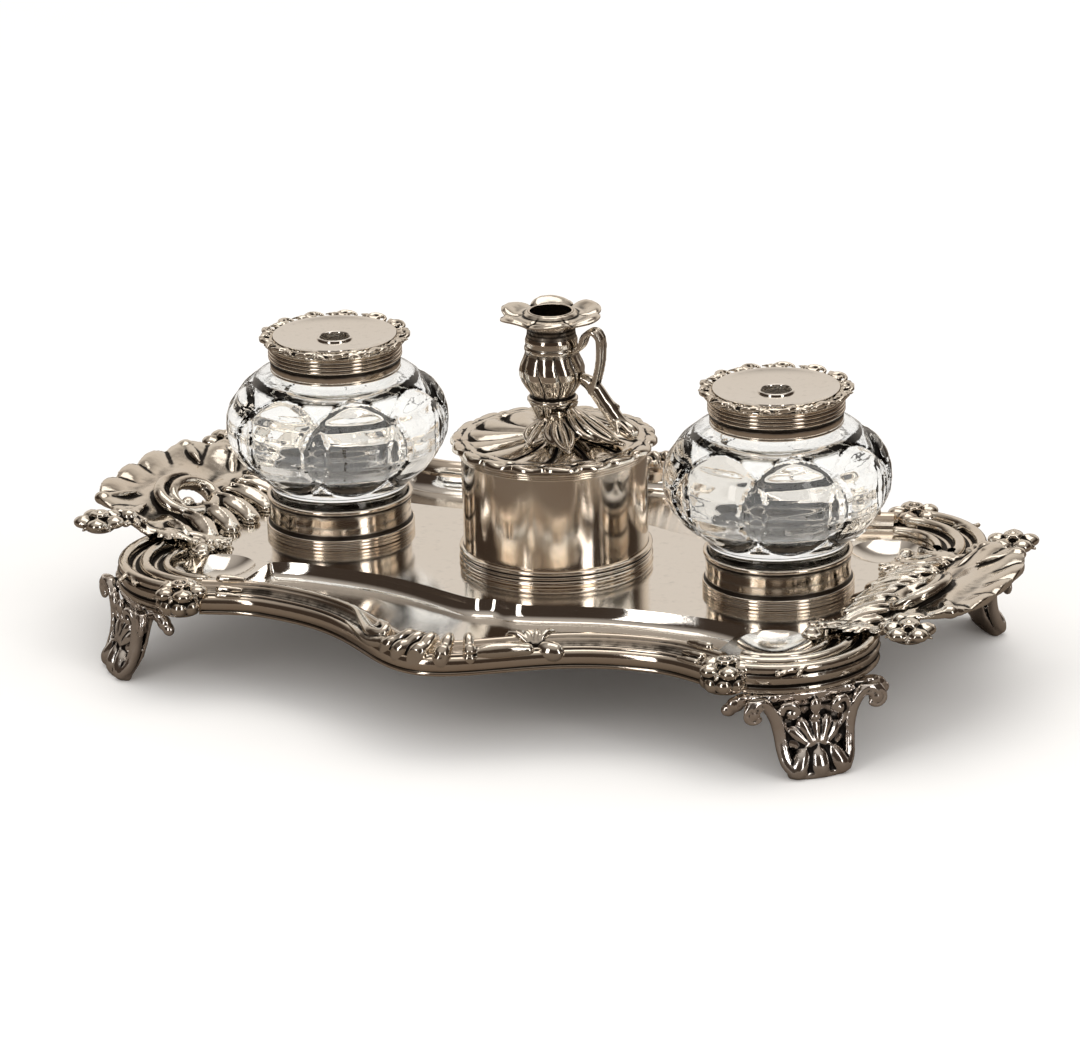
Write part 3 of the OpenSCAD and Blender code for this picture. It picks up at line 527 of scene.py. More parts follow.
# Bearings are counted from the camera's side, in degrees to the right. Lengths are in metres.
lights = {
    "leftStrip": dict(bearing=-38.5, height=0.62, far=1.5, size=(0.3, 1.2), power=3.6, colour=(1.0, 0.97, 0.93)),
    "rightStrip": dict(bearing=38.5, height=0.62, far=1.5, size=(0.3, 1.2), power=3.6, colour=(1.0, 0.97, 0.93)),
    "topBox": dict(bearing=160, height=2.2, far=0.6, size=(1.8, 1.4), power=9, colour=(1.0, 0.96, 0.9)),
}
for name, lamp in lights.items():
    data = bpy.data.lights.new(name, "AREA")
    data.shape = "RECTANGLE"
    data.size, data.size_y = lamp["size"]
    data.energy, data.color = lamp["power"], lamp["colour"]
    lampObject = newObject(name, data)
    angle = radians(camera["azimuth"] + lamp["bearing"])
    lampObject.location = (sin(angle) * lamp["far"], -cos(angle) * lamp["far"], lamp["height"])
    turn = (Vector((0, 0, 0.05)) - lampObject.location).to_track_quat("-Z", "Y")
    lampObject.rotation_euler = turn.to_euler()
bpy.context.scene.view_settings.view_transform = "Standard"
bpy.context.scene.view_settings.look = "None"
print("camera and lights ready")


# Geometry Nodes

def newTree(name, sockets):
    # Named inputs go in as label, kind and value
    tree = bpy.data.node_groups.new(name, "GeometryNodeTree")
    tree.interface.new_socket("Geometry", in_out="INPUT", socket_type="NodeSocketGeometry")
    ids = {}
    for label, kind, value in sockets:
        socket = tree.interface.new_socket(label, in_out="INPUT", socket_type="NodeSocket" + kind)
        if value is not None:
            socket.default_value = value
        ids[label] = socket.identifier
    tree.interface.new_socket("Geometry", in_out="OUTPUT", socket_type="NodeSocketGeometry")
    outputs = tree.nodes.new("NodeGroupInput").outputs
    return tree, {label: Signal(tree, outputs[label]) for label in ids}, ids


def endTree(geometry, material):
    tree = geometry.tree
    real = signal(tree, "GeometryNodeRealizeInstances", {0: geometry})
    made = signal(tree, "GeometryNodeSetMaterial", {"Geometry": real, "Material": material})
    addNode(tree, "NodeGroupOutput", {0: made})


def runTree(treeAndIds, **values):
    # Runs a tree on an empty mesh and gives back a shape; the objects among its values go
    tree, ids = treeAndIds
    obj = newObject("work", bpy.data.meshes.new("work"))
    modifier = obj.modifiers.new("nodes", "NODES")
    modifier.node_group = tree
    for label, value in values.items():
        modifier[ids[label.replace("_", " ")]] = value
    obj.data.update()
    shape = arraysOf(evaluated(obj))
    for value in values.values():
        if isinstance(value, bpy.types.Object):
            bpy.data.objects.remove(value)
    return shape


def lineObject(points, cyclic=False):
    data = bpy.data.curves.new("line", "CURVE")
    data.dimensions = "3D"
    spline = data.splines.new("POLY")
    spline.points.add(len(points) - 1)
    for target, p in zip(spline.points, points):
        target.co = (p[0] * mm, p[1] * mm, (p[2] if len(p) > 2 else 0) * mm, 1)
    spline.use_cyclic_u = cyclic
    return newObject("line", data)


def objectGeometry(value):
    return signal(value.tree, "GeometryNodeObjectInfo", {"Object": value}, "Geometry")


def gridUv(columns, rows):
    # A grid whose u and v run from 0 to 1
    tree = columns.tree
    inputs = {"Size X": 1.0, "Size Y": 1.0, "Vertices X": columns, "Vertices Y": rows}
    u, v, _ = split(signal(tree, "GeometryNodeInputPosition"))
    return signal(tree, "GeometryNodeMeshGrid", inputs), u + 0.5, v + 0.5


def sampleLine(line, factor):
    inputs = {"Curves": objectGeometry(line), "Factor": factor}
    node = addNode(line.tree, "GeometryNodeSampleCurve", inputs, mode="FACTOR")
    return [Signal(line.tree, node.outputs[name]) for name in ("Position", "Tangent")]


def vectors(operation, *values, **more):
    inputs = {**dict(enumerate(values)), **more}
    return signal(values[0].tree, "VectorMath", inputs, operation=operation)


def placed(grid, spots):
    tree = grid.tree
    put = signal(tree, "GeometryNodeSetPosition", {"Geometry": grid, "Position": spots})
    return signal(tree, "GeometryNodeMergeByDistance", {"Geometry": put, "Distance": 1e-6})


def makeSweepTree():
    # A moulding: a section carried along a level path. Its first axis points away from the path's left.
    tree, sockets, ids = newTree("moulding", [
        ("Path", "Object", None), ("Section", "Object", None), ("Steps", "Int", 200),
        ("Around", "Int", 60), ("Slim Ends", "Float", 0.0), ("Metal", "Material", None)])
    grid, u, v = gridUv(sockets["Steps"], sockets["Around"])
    spot, way = sampleLine(sockets["Path"], u)
    out, high, _ = split(sampleLine(sockets["Section"], v)[0])
    aside = vectors("NORMALIZE", vectors("CROSS_PRODUCT", way, (0, 0, 1)))
    near = u.maths("MINIMUM", 1.0 - u)
    slim = mapped(near, (0.0, 0.12), (1.0 - sockets["Slim Ends"], 1.0), smooth=True)
    aside = vectors("SCALE", aside, Scale=out * slim)
    lift = signal(tree, "CombineXYZ", {2: high * slim})
    endTree(placed(grid, vectors("ADD", spot, vectors("ADD", aside, lift))), sockets["Metal"])
    return tree, ids


def makeRingTree():
    # Repeats one shape round the z axis
    tree, sockets, ids = newTree("ring", [
        ("Unit", "Object", None), ("Count", "Int", 12), ("Metal", "Material", None)])
    spots = signal(tree, "GeometryNodeMeshLine", {"Count": sockets["Count"], "Offset": (0, 0, 0)}, mode="OFFSET")
    turn = signal(tree, "GeometryNodeInputIndex") * (2 * pi / sockets["Count"])
    rotation = signal(tree, "CombineXYZ", {2: turn})
    many = signal(tree, "GeometryNodeInstanceOnPoints", {
        "Points": spots, "Instance": objectGeometry(sockets["Unit"]), "Rotation": rotation})
    endTree(many, sockets["Metal"])
    return tree, ids


def makeBottleTree():
    # Cut glass: a revolved line whose bulb carries lobes. The line's third value says how strong they are.
    tree, sockets, ids = newTree("bottle", [
        ("Line", "Object", None), ("Around", "Int", 256), ("Along", "Int", 200), ("Lobes", "Float", 8.0),
        ("Turn", "Float", 0.0), ("Bulge", "Float", 0.0018), ("Groove", "Float", 0.0005),
        ("Groove Width", "Float", 0.05), ("Lobe Width", "Float", 0.62), ("Lobe Height", "Float", 0.02),
        ("Lobe Middle", "Float", 0.07), ("Glass", "Material", None)])
    grid, u, v = gridUv(sockets["Around"], sockets["Along"])
    r, z, strength = split(sampleLine(sockets["Line"], v)[0])
    aside = abs((u * sockets["Lobes"] + sockets["Turn"]).maths("FRACT") - 0.5)
    high = abs((z - sockets["Lobe Middle"]) / sockets["Lobe Height"]) ** 2.0

    def reach(distance):
        return ((distance / sockets["Lobe Width"]) ** 2.0 + high).maths("SQRT")

    borders = reach(aside), reach(1.0 - aside)
    out = (1.0 - borders[0] ** 3.0).maths("MAXIMUM", 0.0) ** 0.5 * sockets["Bulge"]
    for border in borders:
        line = 1.0 - abs(border - 1.0) / sockets["Groove Width"]
        out = out - line.maths("MAXIMUM", 0.0) * sockets["Groove"]
    r = r + (out - sockets["Bulge"]) * (strength * 1000.0)
    angle = u * (2 * pi)
    x, y = (r * angle.maths(operation) for operation in ("COSINE", "SINE"))
    endTree(placed(grid, signal(tree, "CombineXYZ", {0: x, 1: y, 2: z})), sockets["Glass"])
    return tree, ids


sweepTree, ringTree, bottleTree = makeSweepTree(), makeRingTree(), makeBottleTree()
print("node trees ready")


# Tray plate. edgeY is the half depth of the tray, edgeAt a point at a distance inside its edge.

trayPlate = dict(half=74, bow=30, bowWidth=35.5, turnStart=70, sheet=1.4, rimLap=4.0, rimWidth=11.5,
                 troughEnd=86.0, troughDepth=5.2, dishR=12.0, dishDepth=4.2)


def edgeY(x):
    p = trayPlate
    turn = ease((abs(x) - p["turnStart"]) / (scrollX - p["turnStart"]))
    return p["half"] + p["bow"] * exp(-(x / p["bowWidth"]) ** 2) + (scrollY + scrollR - p["half"]) * turn


def edgeSlope(x):
    return (edgeY(x + 0.05) - edgeY(x - 0.05)) / 0.1


def edgeAt(x, u):
    s = edgeSlope(x)
    k = sqrt(1 + s * s)
    return x + u * s / k, -edgeY(x) + u / k


def troughRear(x):
    dips = -34 - 11.5 * exp(-(x / 30) ** 2) + 2.5 * exp(-(x / 5) ** 2)
    return dips - 3 * (max(0, abs(x) - 68) / 18) ** 2


def troughFront(x):
    return -edgeY(x) + trayPlate["rimWidth"] * sqrt(1 + edgeSlope(x) ** 2)


def troughPatch():
    # From the crisp back edge down the wall, over the floor and up to the moulding
    depth, end = trayPlate["troughDepth"], trayPlate["troughEnd"]
    # share of the width, distance added to it, share of the depth
    across = [(0, 0, 0), (0, -0.25, 0.12), (0, -0.6, 0.35), (0, -1.1, 0.6), (0, -1.8, 0.8), (0, -2.8, 0.94),
              (0, -4.4, 1.0), (0.45, 0, 1.0), (1, 5.0, 0.98), (1, 3.2, 0.9), (1, 2.0, 0.74), (1, 1.0, 0.48),
              (1, 0.4, 0.2), (1, 0, 0)]
    ends = [(0, 0.0), (0.15, 0.12), (0.45, 0.4), (0.9, 0.7), (1.6, 0.9), (2.6, 1.0)]
    stations = [(d - end, share) for d, share in ends]
    stations += [(x, 1.0) for x in np.linspace(4 - end, end - 4, 110)]
    stations += [(end - d, share) for d, share in ends[::-1]]
    points = []
    for x, share in stations:
        rear, front = troughRear(x), troughFront(x)
        points += [(x, rear + (front - rear) * s + d, -depth * h * share) for s, d, h in across]
    rows, count = len(stations), len(across)
    faces = [(i * count + j, i * count + j + 1, (i + 1) * count + j + 1, (i + 1) * count + j)
             for i in range(rows - 1) for j in range(count - 1)]
    loop = [i * count for i in range(rows)] + [(rows - 1) * count + j for j in range(1, count)]
    loop += [i * count + count - 1 for i in range(rows - 2, -1, -1)] + list(range(count - 2, 0, -1))
    points = np.array(points)
    return points, faces, points[loop]


def dishPatch(cx, cy):
    r, depth, sides = trayPlate["dishR"], trayPlate["dishDepth"], 72
    curveR = (r * r + depth * depth) / (2 * depth)
    rings = [1.0, 0.985, 0.95, 0.88, 0.78, 0.65, 0.5, 0.33, 0.16]
    points = [polar(r * k, 2 * pi * j / sides, curveR - depth - sqrt(curveR ** 2 - (r * k) ** 2))
              for k in rings for j in range(sides)] + [(0, 0, -depth)]
    faces = [(i * sides + j, i * sides + (j + 1) % sides, (i + 1) * sides + (j + 1) % sides, (i + 1) * sides + j)
             for i in range(len(rings) - 1) for j in range(sides)]
    last = (len(rings) - 1) * sides
    faces += [(last + j, last + (j + 1) % sides, len(points) - 1) for j in range(sides)]
    points = np.array(points) + (cx, cy, 0)
    return points, faces, points[:sides]


def makeTrayPlate():
    lap = trayPlate["rimLap"]
    quarter = [edgeAt(x, lap) for x in np.arange(0, scrollX - 3, 1.5)]
    for b in np.arange(-90, 26, 3):
        x, y, _ = polar(scrollR - lap, radians(b))
        quarter.append((scrollX + x, y - scrollY))
    half = quarter + [(x, -y) for x, y in quarter[::-1]]
    outline = np.array([(x, y, 0) for x, y in half + [(-x, y) for x, y in half[-2::-1]][:-1]])
    points, faces, loop = troughPatch()
    patches = [(points * (1, sy, 1), faces, loop * (1, sy, 1)) for sy in (1, -1)]
    patches += [dishPatch(sx * scrollX, sy * scrollY) for sx in (-1, 1) for sy in (-1, 1)]
    loops = [outline] + [loop for _, _, loop in patches]
    flat = tessellate_polygon([[Vector(p) for p in loop] for loop in loops])
    parts = [(np.concatenate(loops), [tuple(t) for t in flat])] + [(p, f) for p, f, _ in patches]
    mesh = meshOf("trayPlate", joined(parts))
    bm = bmesh.new()
    bm.from_mesh(mesh)
    bmesh.ops.remove_doubles(bm, verts=bm.verts, dist=2e-6)
    bmesh.ops.recalc_face_normals(bm, faces=bm.faces)
    if sum(f.normal.z * f.calc_area() for f in bm.faces) < 0:
        bmesh.ops.reverse_faces(bm, faces=bm.faces)
    under = bmesh.ops.duplicate(bm, geom=list(bm.verts) + list(bm.edges) + list(bm.faces))["geom"]
    low = [g for g in under if isinstance(g, bmesh.types.BMVert)]
    bmesh.ops.translate(bm, verts=low, vec=(0, 0, -trayPlate["sheet"] * mm))
    bmesh.ops.reverse_faces(bm, faces=[g for g in under if isinstance(g, bmesh.types.BMFace)])
    bmesh.ops.bridge_loops(bm, edges=[e for e in bm.edges if e.is_boundary])
    bmesh.ops.translate(bm, verts=bm.verts, vec=(0, 0, plateTop * mm))
    bm.to_mesh(mesh)
    bm.free()
    finishPiece("trayPlate", "tray_plate", mesh, "polishedSilver", "tray", 28)


makeTrayPlate()
print("tray plate made")


# Mouldings along the front and the back: distance from the edge and height of the section's points

moulding = dict(end=90.6, steps=260, around=110)
mouldingSection = [
    (-11.5, -0.1), (-11.4, 0.9), (-10.9, 2.1), (-10.1, 3.2), (-9.2, 4.05), (-8.2, 4.5), (-7.4, 4.6), (-6.8, 4.45),
    (-6.4, 4.0), (-6.15, 3.55), (-5.8, 3.4), (-5.2, 2.6), (-4.4, 1.95), (-3.5, 1.6), (-2.9, 1.5), (-2.75, 1.75),
    (-2.4, 1.85), (-2.1, 1.65), (-1.95, 1.2), (-1.8, 1.0), (-1.3, 0.95), (-0.7, 0.5), (-0.25, -0.2), (-0.05, -1.0),
    (0.0, -1.8), (-0.15, -2.7), (-0.5, -3.3), (-0.85, -3.5), (-0.75, -3.8), (-0.4, -4.1), (-0.35, -4.6),
    (-0.6, -5.0), (-3.7, -5.0), (-3.7, -0.1)]


def makeMoulding(name, node, sy):
    end = moulding["end"]
    path = lineObject([(x, -edgeY(x)) for x in np.linspace(-end, end, 240)])
    points, faces = runTree(sweepTree, Path=path, Section=lineObject(mouldingSection, cyclic=True),
                            Steps=moulding["steps"], Around=moulding["around"], Metal=materials["castSilver"])
    points[:, 2] += plateTop
    shape = hollowed(*tidied(mirrored((points, faces), 1, sy)), 0.45, 1.3)
    addPiece(name, node, shape, material="warmSilver", sharp=40)


makeMoulding("frontMoulding", "front_rim", 1)
makeMoulding("backMoulding", "back_rim", -1)
print("mouldings made")


# Turned silver: sockets, collars, lids, box. Heights are counted from the plate.

def arc(r, z, radius, start, end, count=7):
    angles = (radians(start + (end - start) * i / (count - 1)) for i in range(count))
    return [(r + radius * cos(a), z + radius * sin(a)) for a in angles]


def spun(name, node, section, body="tray", material="warmSilver", x=0.0, steps=160, worn=True):
    if worn:
        section = dense(section)
    mesh = meshOf(name, revolve([(r, z + plateTop) for r, z in section], steps, x))
    if worn:
        setHollow(mesh, np.tile(sectionHollows(section), steps))
    finishPiece(name, node, tidyMesh(mesh), material, body, 35)


def sheet(steps, row):
    # A closed ring of sheet metal. row gives the pairs of top and under points at an angle, from inside out.
    grid = np.array([row(2 * pi * i / steps) for i in range(steps)])
    top, under = grid[:, :, 0], grid[:, :, 1]
    n, m = top.shape[:2]
    base = n * m
    faces = []
    for i in range(n):
        here, there = i * m, (i + 1) % n * m
        for j in range(m - 1):
            a, b, c, d = here + j, there + j, there + j + 1, here + j + 1
            faces += [(a, b, c, d), (base + a, base + d, base + c, base + b)]
        faces.append((here, base + here, base + there, there))
        a, b = here + m - 1, there + m - 1
        faces.append((a, b, base + b, base + a))
    return np.concatenate([top.reshape(-1, 3), under.reshape(-1, 3)]), faces


def axisPoint(r, angle, z):
    # A point round the box's axis, at a height above the plate
    return r * cos(angle), r * sin(angle) + rowY, z + plateTop


socketLook = dict(inside=23.05, wall=23.95, floor=1.2, reeds=3, reed=0.56, pitch=1.15)


def makeSocket(side, x):
    s = socketLook
    wall, inside, floorTop = s["wall"], s["inside"], s["floor"]
    section = [(0, 0), (wall + 0.3, 0)]
    for k in range(s["reeds"]):
        section += arc(wall + 0.42, 0.66 + k * s["pitch"], s["reed"], -70, 70)
    section += [(wall + r, z) for r, z in ((0.12, 3.6), (-0.1, 4.2), (-0.25, 7.4), (-0.1, 10.6), (0.05, 12.1))]
    section += arc(inside + 0.75, 12.8, 0.72, -60, 170, 12)
    section += [(inside, 12.4), (inside, floorTop + 0.4), (inside - 0.4, floorTop), (0, floorTop)]
    spun(side + "Socket", side + "_socket", section, x=x)


collarLook = dict(radius=21.9, bore=15.8, start=56.95, top=65.92, reeds=4, reed=0.56, pitch=1.25)


def makeCollar(side, x):
    c = collarLook
    radius, bore, start, top = c["radius"], c["bore"], c["start"], c["top"]
    section = [(radius - 0.8, start + 0.1)] + arc(radius - 0.4, start + 0.02, 0.4, -120, 60)
    section += [(radius - 0.05, start + 0.8), (radius - 0.12, top - 0.9 - c["reeds"] * c["pitch"])]
    for k in reversed(range(c["reeds"])):
        section += arc(radius - 0.05, top - 0.9 - k * c["pitch"], c["reed"], -75, 75)
    section += [(radius - 0.3, top - 0.05), (bore, top - 0.02), (bore, top - 0.8), (radius - 0.8, top - 0.82)]
    spun(side + "Collar", side + "_collar", section, side + "_bottle", x=x)


lidLook = dict(seat=65.92, scrolls=13, borderStart=20.82, borderEnd=25.25, borderTop=3.2)


def makeLid(side, x):
    k = lidLook
    z = k["seat"]
    top = [(20.66, 2.45), (20.2, 2.4), (19.2, 2.12), (17.4, 1.66), (14.5, 1.26), (11, 1.02), (8.2, 0.92), (6.9, 0.95)]
    low = [(4.9, 0.9), (4.9, 0.06), (5.1, 0), (16.8, 0), (18.8, 0.75), (20.5, 1.55)]
    section = [(r, z + h) for r, h in top] + arc(5.55, z + 1.05, 0.62, -10, 190, 10) + [(r, z + h) for r, h in low]
    body = side + "_lid"
    spun(side + "LidDish", side + "_lid_dish", section, body, "polishedSilver", x, worn=False)

    # one scroll of the border: a C curve with a leaf, repeated round the lid
    c = [(21.3, -4.6, 1.2), (23.4, -4.9, 1.7), (24.6, -3.2, 2.1), (24.4, -0.8, 2.3), (23.2, 0.9, 2.2),
         (21.9, 0.7, 2.0), (21.9, -0.7, 1.9), (22.8, -1.2, 1.9)]
    parts = [smoothBar(c, 26, (0.45, 0.95, 0.6), 8), ball((22.6, -0.5, 1.9), 0.8, (1, 1, 0.9), 8)]
    for y0, y1, y2, r in ((1.6, 2.4, 4.4, 0.85), (2.9, 3.7, 5.6, 0.6), (-1.9, -2.2, -3.4, 0.55)):
        parts.append(smoothBar([(21.3, y0, 1.4), (23.2, y1, 2.0), (24.7, y2, 1.6)], 10, (0.4, r, 0.3), 8))
    parts.append(ball((24.1, 2.0, 1.7), 0.8, (1, 1, 0.8), 8))
    unit = newObject("unit", meshOf("unit", joined(parts)))
    scrolls = runTree(ringTree, Unit=unit, Count=k["scrolls"], Metal=materials["castSilver"])
    start = k["borderStart"]
    band = [(start, 0.1), (23.2, 0.06), (23.9, 0.4), (23.6, 0.9), (22.6, 1.0), (21.5, 1.7), (start + 0.02, 2.2)]
    shape = cast([scrolls, revolve(band, y=0)], 0.35)
    points = shape[0]
    radius = np.hypot(points[:, 0], points[:, 1])
    wide = np.clip(radius, start, k["borderEnd"]) / np.maximum(radius, 1)
    points[:, 0] = points[:, 0] * wide + x
    points[:, 1] = points[:, 1] * wide + rowY
    points[:, 2] = np.clip(points[:, 2], 0.02, k["borderTop"]) + z + plateTop
    addPiece(side + "LidBorder", side + "_lid_border", shape, body)


for side, x in (("left", -bottleX), ("right", bottleX)):
    makeSocket(side, x)
    makeCollar(side, x)
    makeLid(side, x)
print("sockets, collars and lids made")

# Wafer box; each reed has a height and a radius
boxLook = dict(radius=30.7, height=39.8, sheet=1.1, reeds=((1.15, 1.1), (3.0, 0.62), (4.7, 0.78)))


def makeBox():
    b = boxLook
    r, top, floorTop = b["radius"], b["height"], b["sheet"]
    section = [(0, 0.02), (r + 0.9, 0.0)]
    for z, size in b["reeds"]:
        section += arc(r + 0.95 - size * 0.45, z, size, -74, 74, 9)
    section += [(r + 0.45, 5.55), (r + 0.12, 5.6), (r + 0.12, floorTop), (0, floorTop)]
    spun("boxBase", "box_base", section)
    inner = r - b["sheet"]
    wall = [(inner, floorTop), (r, floorTop), (r, 20), (r, top - 0.15), (r - 0.15, top), (r - 0.95, top),
            (inner, top - 0.15)]
    spun("boxWall", "box_wall", wall, worn=False)
    rim = [(r + 0.12, top - 3.2)] + arc(r + 0.35, top - 2.82, 0.36, -90, 80) + arc(r + 0.4, top - 2.1, 0.36, -80, 80)
    rim += arc(r + 0.45, top - 1.2, 0.52, -80, 70, 8)
    rim += [(r + 1.0, top - 0.5), (r + 1.25, top - 0.3), (r + 1.25, top), (r + 0.12, top)]
    spun("boxRim", "box_rim", rim)


makeBox()

coverLook = dict(edge=34.3, scallops=18, seat=43.5, flat=41.9, low=39.8, flutes=13, swirl=52.0, ringR=29.2,
                 borderR=30.0, domeR=29.0)


def coverRow(angle):
    # A low dome of swirling flutes with a border of small scrolls
    c = coverLook
    edge = c["edge"] - 1.6 * (1 - abs(cos(angle * c["scallops"] / 2)) ** 0.6)
    row = []
    for t in np.linspace(0, 1, 52):
        r = edge * t
        z = c["flat"] + (c["seat"] - c["flat"]) * max(0, 1 - r / c["domeR"]) ** 0.8
        swirl = angle * c["flutes"] + radians(c["swirl"]) * 4 * (r / 30) ** 1.4
        gain = ease((r - 5) / 9) * (1 - ease((r - 26.5) / 3))
        z += gain * (2.1 * abs(sin(swirl / 2)) ** 0.75 - 1.7)
        z += 0.35 * sqrt(max(0, 1 - abs(r - c["ringR"]) / 0.9))
        out = r - c["borderR"]
        if out > 0:
            border = ease(out / 1.2) * (1 - ease(r - edge + 1.0) * 0.7)
            scroll = abs(cos(angle * c["scallops"] / 2 + out * 0.35)) ** 0.8
            z += 0.75 * border * scroll - 0.55 * ease(out / 0.8)
        z = min(z, c["seat"]) - 0.6 * ease((r - edge + 0.7) / 0.7)
        low = min(c["low"] + 0.02 + 0.25 * ease(r - edge + 1.0), z - 0.25)
        row.append((axisPoint(r, angle, z), axisPoint(r, angle, low)))
    return row


addPiece("boxCover", "box_lid", hollowed(*tidied(sheet(360, coverRow)), 0.5), "taperstick", sharp=50)

vaseLook = dict(start=43.5, height=31.5, lobes=10, bore=7.59)
# share of the height, radius, how deep the gadroons are
vaseRows = [(0.0, 4.2, 0), (0.02, 4.5, 0.2), (0.06, 4.3, 0.5), (0.12, 4.9, 0.9), (0.2, 5.9, 1.1), (0.28, 7.0, 1.1),
            (0.325, 7.7, 0.7), (0.34, 7.6, 0.2), (0.345, 8.0, 0), (0.36, 8.35, 0), (0.38, 8.35, 0), (0.395, 7.9, 0),
            (0.4, 7.4, 0), (0.42, 7.2, 0.1), (0.46, 7.9, 0.6), (0.52, 9.2, 1), (0.58, 10.3, 1.1), (0.64, 10.9, 1.1),
            (0.7, 10.95, 1.0), (0.76, 10.4, 0.9), (0.82, 9.5, 0.7), (0.87, 8.9, 0.4), (0.9, 8.75, 0.1),
            (0.915, 8.95, 0), (0.94, 8.95, 0), (0.955, 8.6, 0), (0.98, 8.6, 0), (1.0, 8.65, 0)]


def makeVase():
    v = vaseLook
    heights, widths, depths = np.array(vaseRows).T
    angles = [2 * pi * i / 240 for i in range(240)]
    rings = []
    for t in np.unique(np.concatenate([heights, np.linspace(0, 1, 60)])):
        r, depth = np.interp(t, heights, widths), np.interp(t, heights, depths)
        waves = (abs(cos(a * v["lobes"] / 2 + 0.5 * sin(t * 9))) ** 0.7 for a in angles)
        rings.append([axisPoint(r - 0.75 * depth * (1 - wave), a, v["start"] + v["height"] * t)
                      for a, wave in zip(angles, waves)])
    for r, t in ((v["bore"], 1.0), (v["bore"], 0.5), (0.01, 0.492)):
        rings.append([axisPoint(r, a, v["start"] + v["height"] * t) for a in angles])
    addPiece("taperVase", "taper_vase", hollowed(*tidied(loft(rings)), 0.45, 1.3), "taperstick", sharp=50)


makeVase()

nozzleLook = dict(hole=6.9, tube=7.5, low=60.05, seam=75.0, pan=84.0, panStart=7.66, panEdge=17.75)


def makeNozzle():
    k = nozzleLook
    hole, wall, low, seam = k["hole"], k["tube"], k["low"], k["seam"]
    section = [(hole, low), (wall, low), (wall, seam), (8.62, seam + 0.02), (8.68, 75.5), (8.5, 76.1), (8.2, 76.9),
               (8.0, 78.2), (8.05, 79.6), (8.35, 80.6), (8.68, 81.4), (8.66, 82.0), (8.9, 82.2), (9.6, 82.38),
               (7.55, 82.4), (7.52, 85.3), (7.35, 85.4), (7.05, 85.4), (hole, 85.3)]
    spun("nozzleTube", "nozzle_tube", section, "nozzle", steps=128)
    points, faces = tidied(sheet(240, panRow))
    points[:, 2] = np.maximum(points[:, 2], k["pan"] + plateTop - 1.45)
    addPiece("dripPan", "drip_pan", hollowed(points, faces, 0.4, 1.2), "nozzle", sharp=60)


def panRow(a):
    # Petals that curl over at their tips
    k = nozzleLook
    petal = abs(cos(a * 3 + 0.35)) ** 0.7
    edge = k["panEdge"] * (0.8 + 0.2 * petal)
    row = []
    for t in np.linspace(0, 1, 32):
        z = ease(1 - abs(t - 0.02) * 6) + 0.25 - 0.3 * sin(pi * t) + 1.5 * petal * ease((t - 0.35) / 0.5)
        z -= 1.1 * ease((t - 0.84) / 0.16) * petal
        z -= 1.3 * (1 - petal) ** 2 * ease((t - 0.1) / 0.4)
        z += 0.35 * sin(a * 6 + 0.7) * ease((t - 0.4) / 0.6)
        x, y, z = axisPoint(k["panStart"] + (edge - k["panStart"]) * t, a, k["pan"] + min(max(z, -0.9), 1.55))
        row.append(((x, y, z), (x, y, z - 0.55 - 0.5 * (1 - t))))
    return row


makeNozzle()

handleLook = dict(width=2.7, stem=(1.5, 2.7, 2.8), reeds=(0.6, 1.2, 1.2))
# the vase's radius at some heights, which the handle's inner side follows
vaseWall = [(43.5, 4.9), (47, 5.6), (50, 6.6), (53, 8.2), (54.5, 8.8), (55.6, 8.8), (56.6, 8.2), (59, 9.0),
            (61, 10.2), (63.5, 11.2), (66, 11.3), (69, 10.6), (72, 9.4), (75, 9.2)]


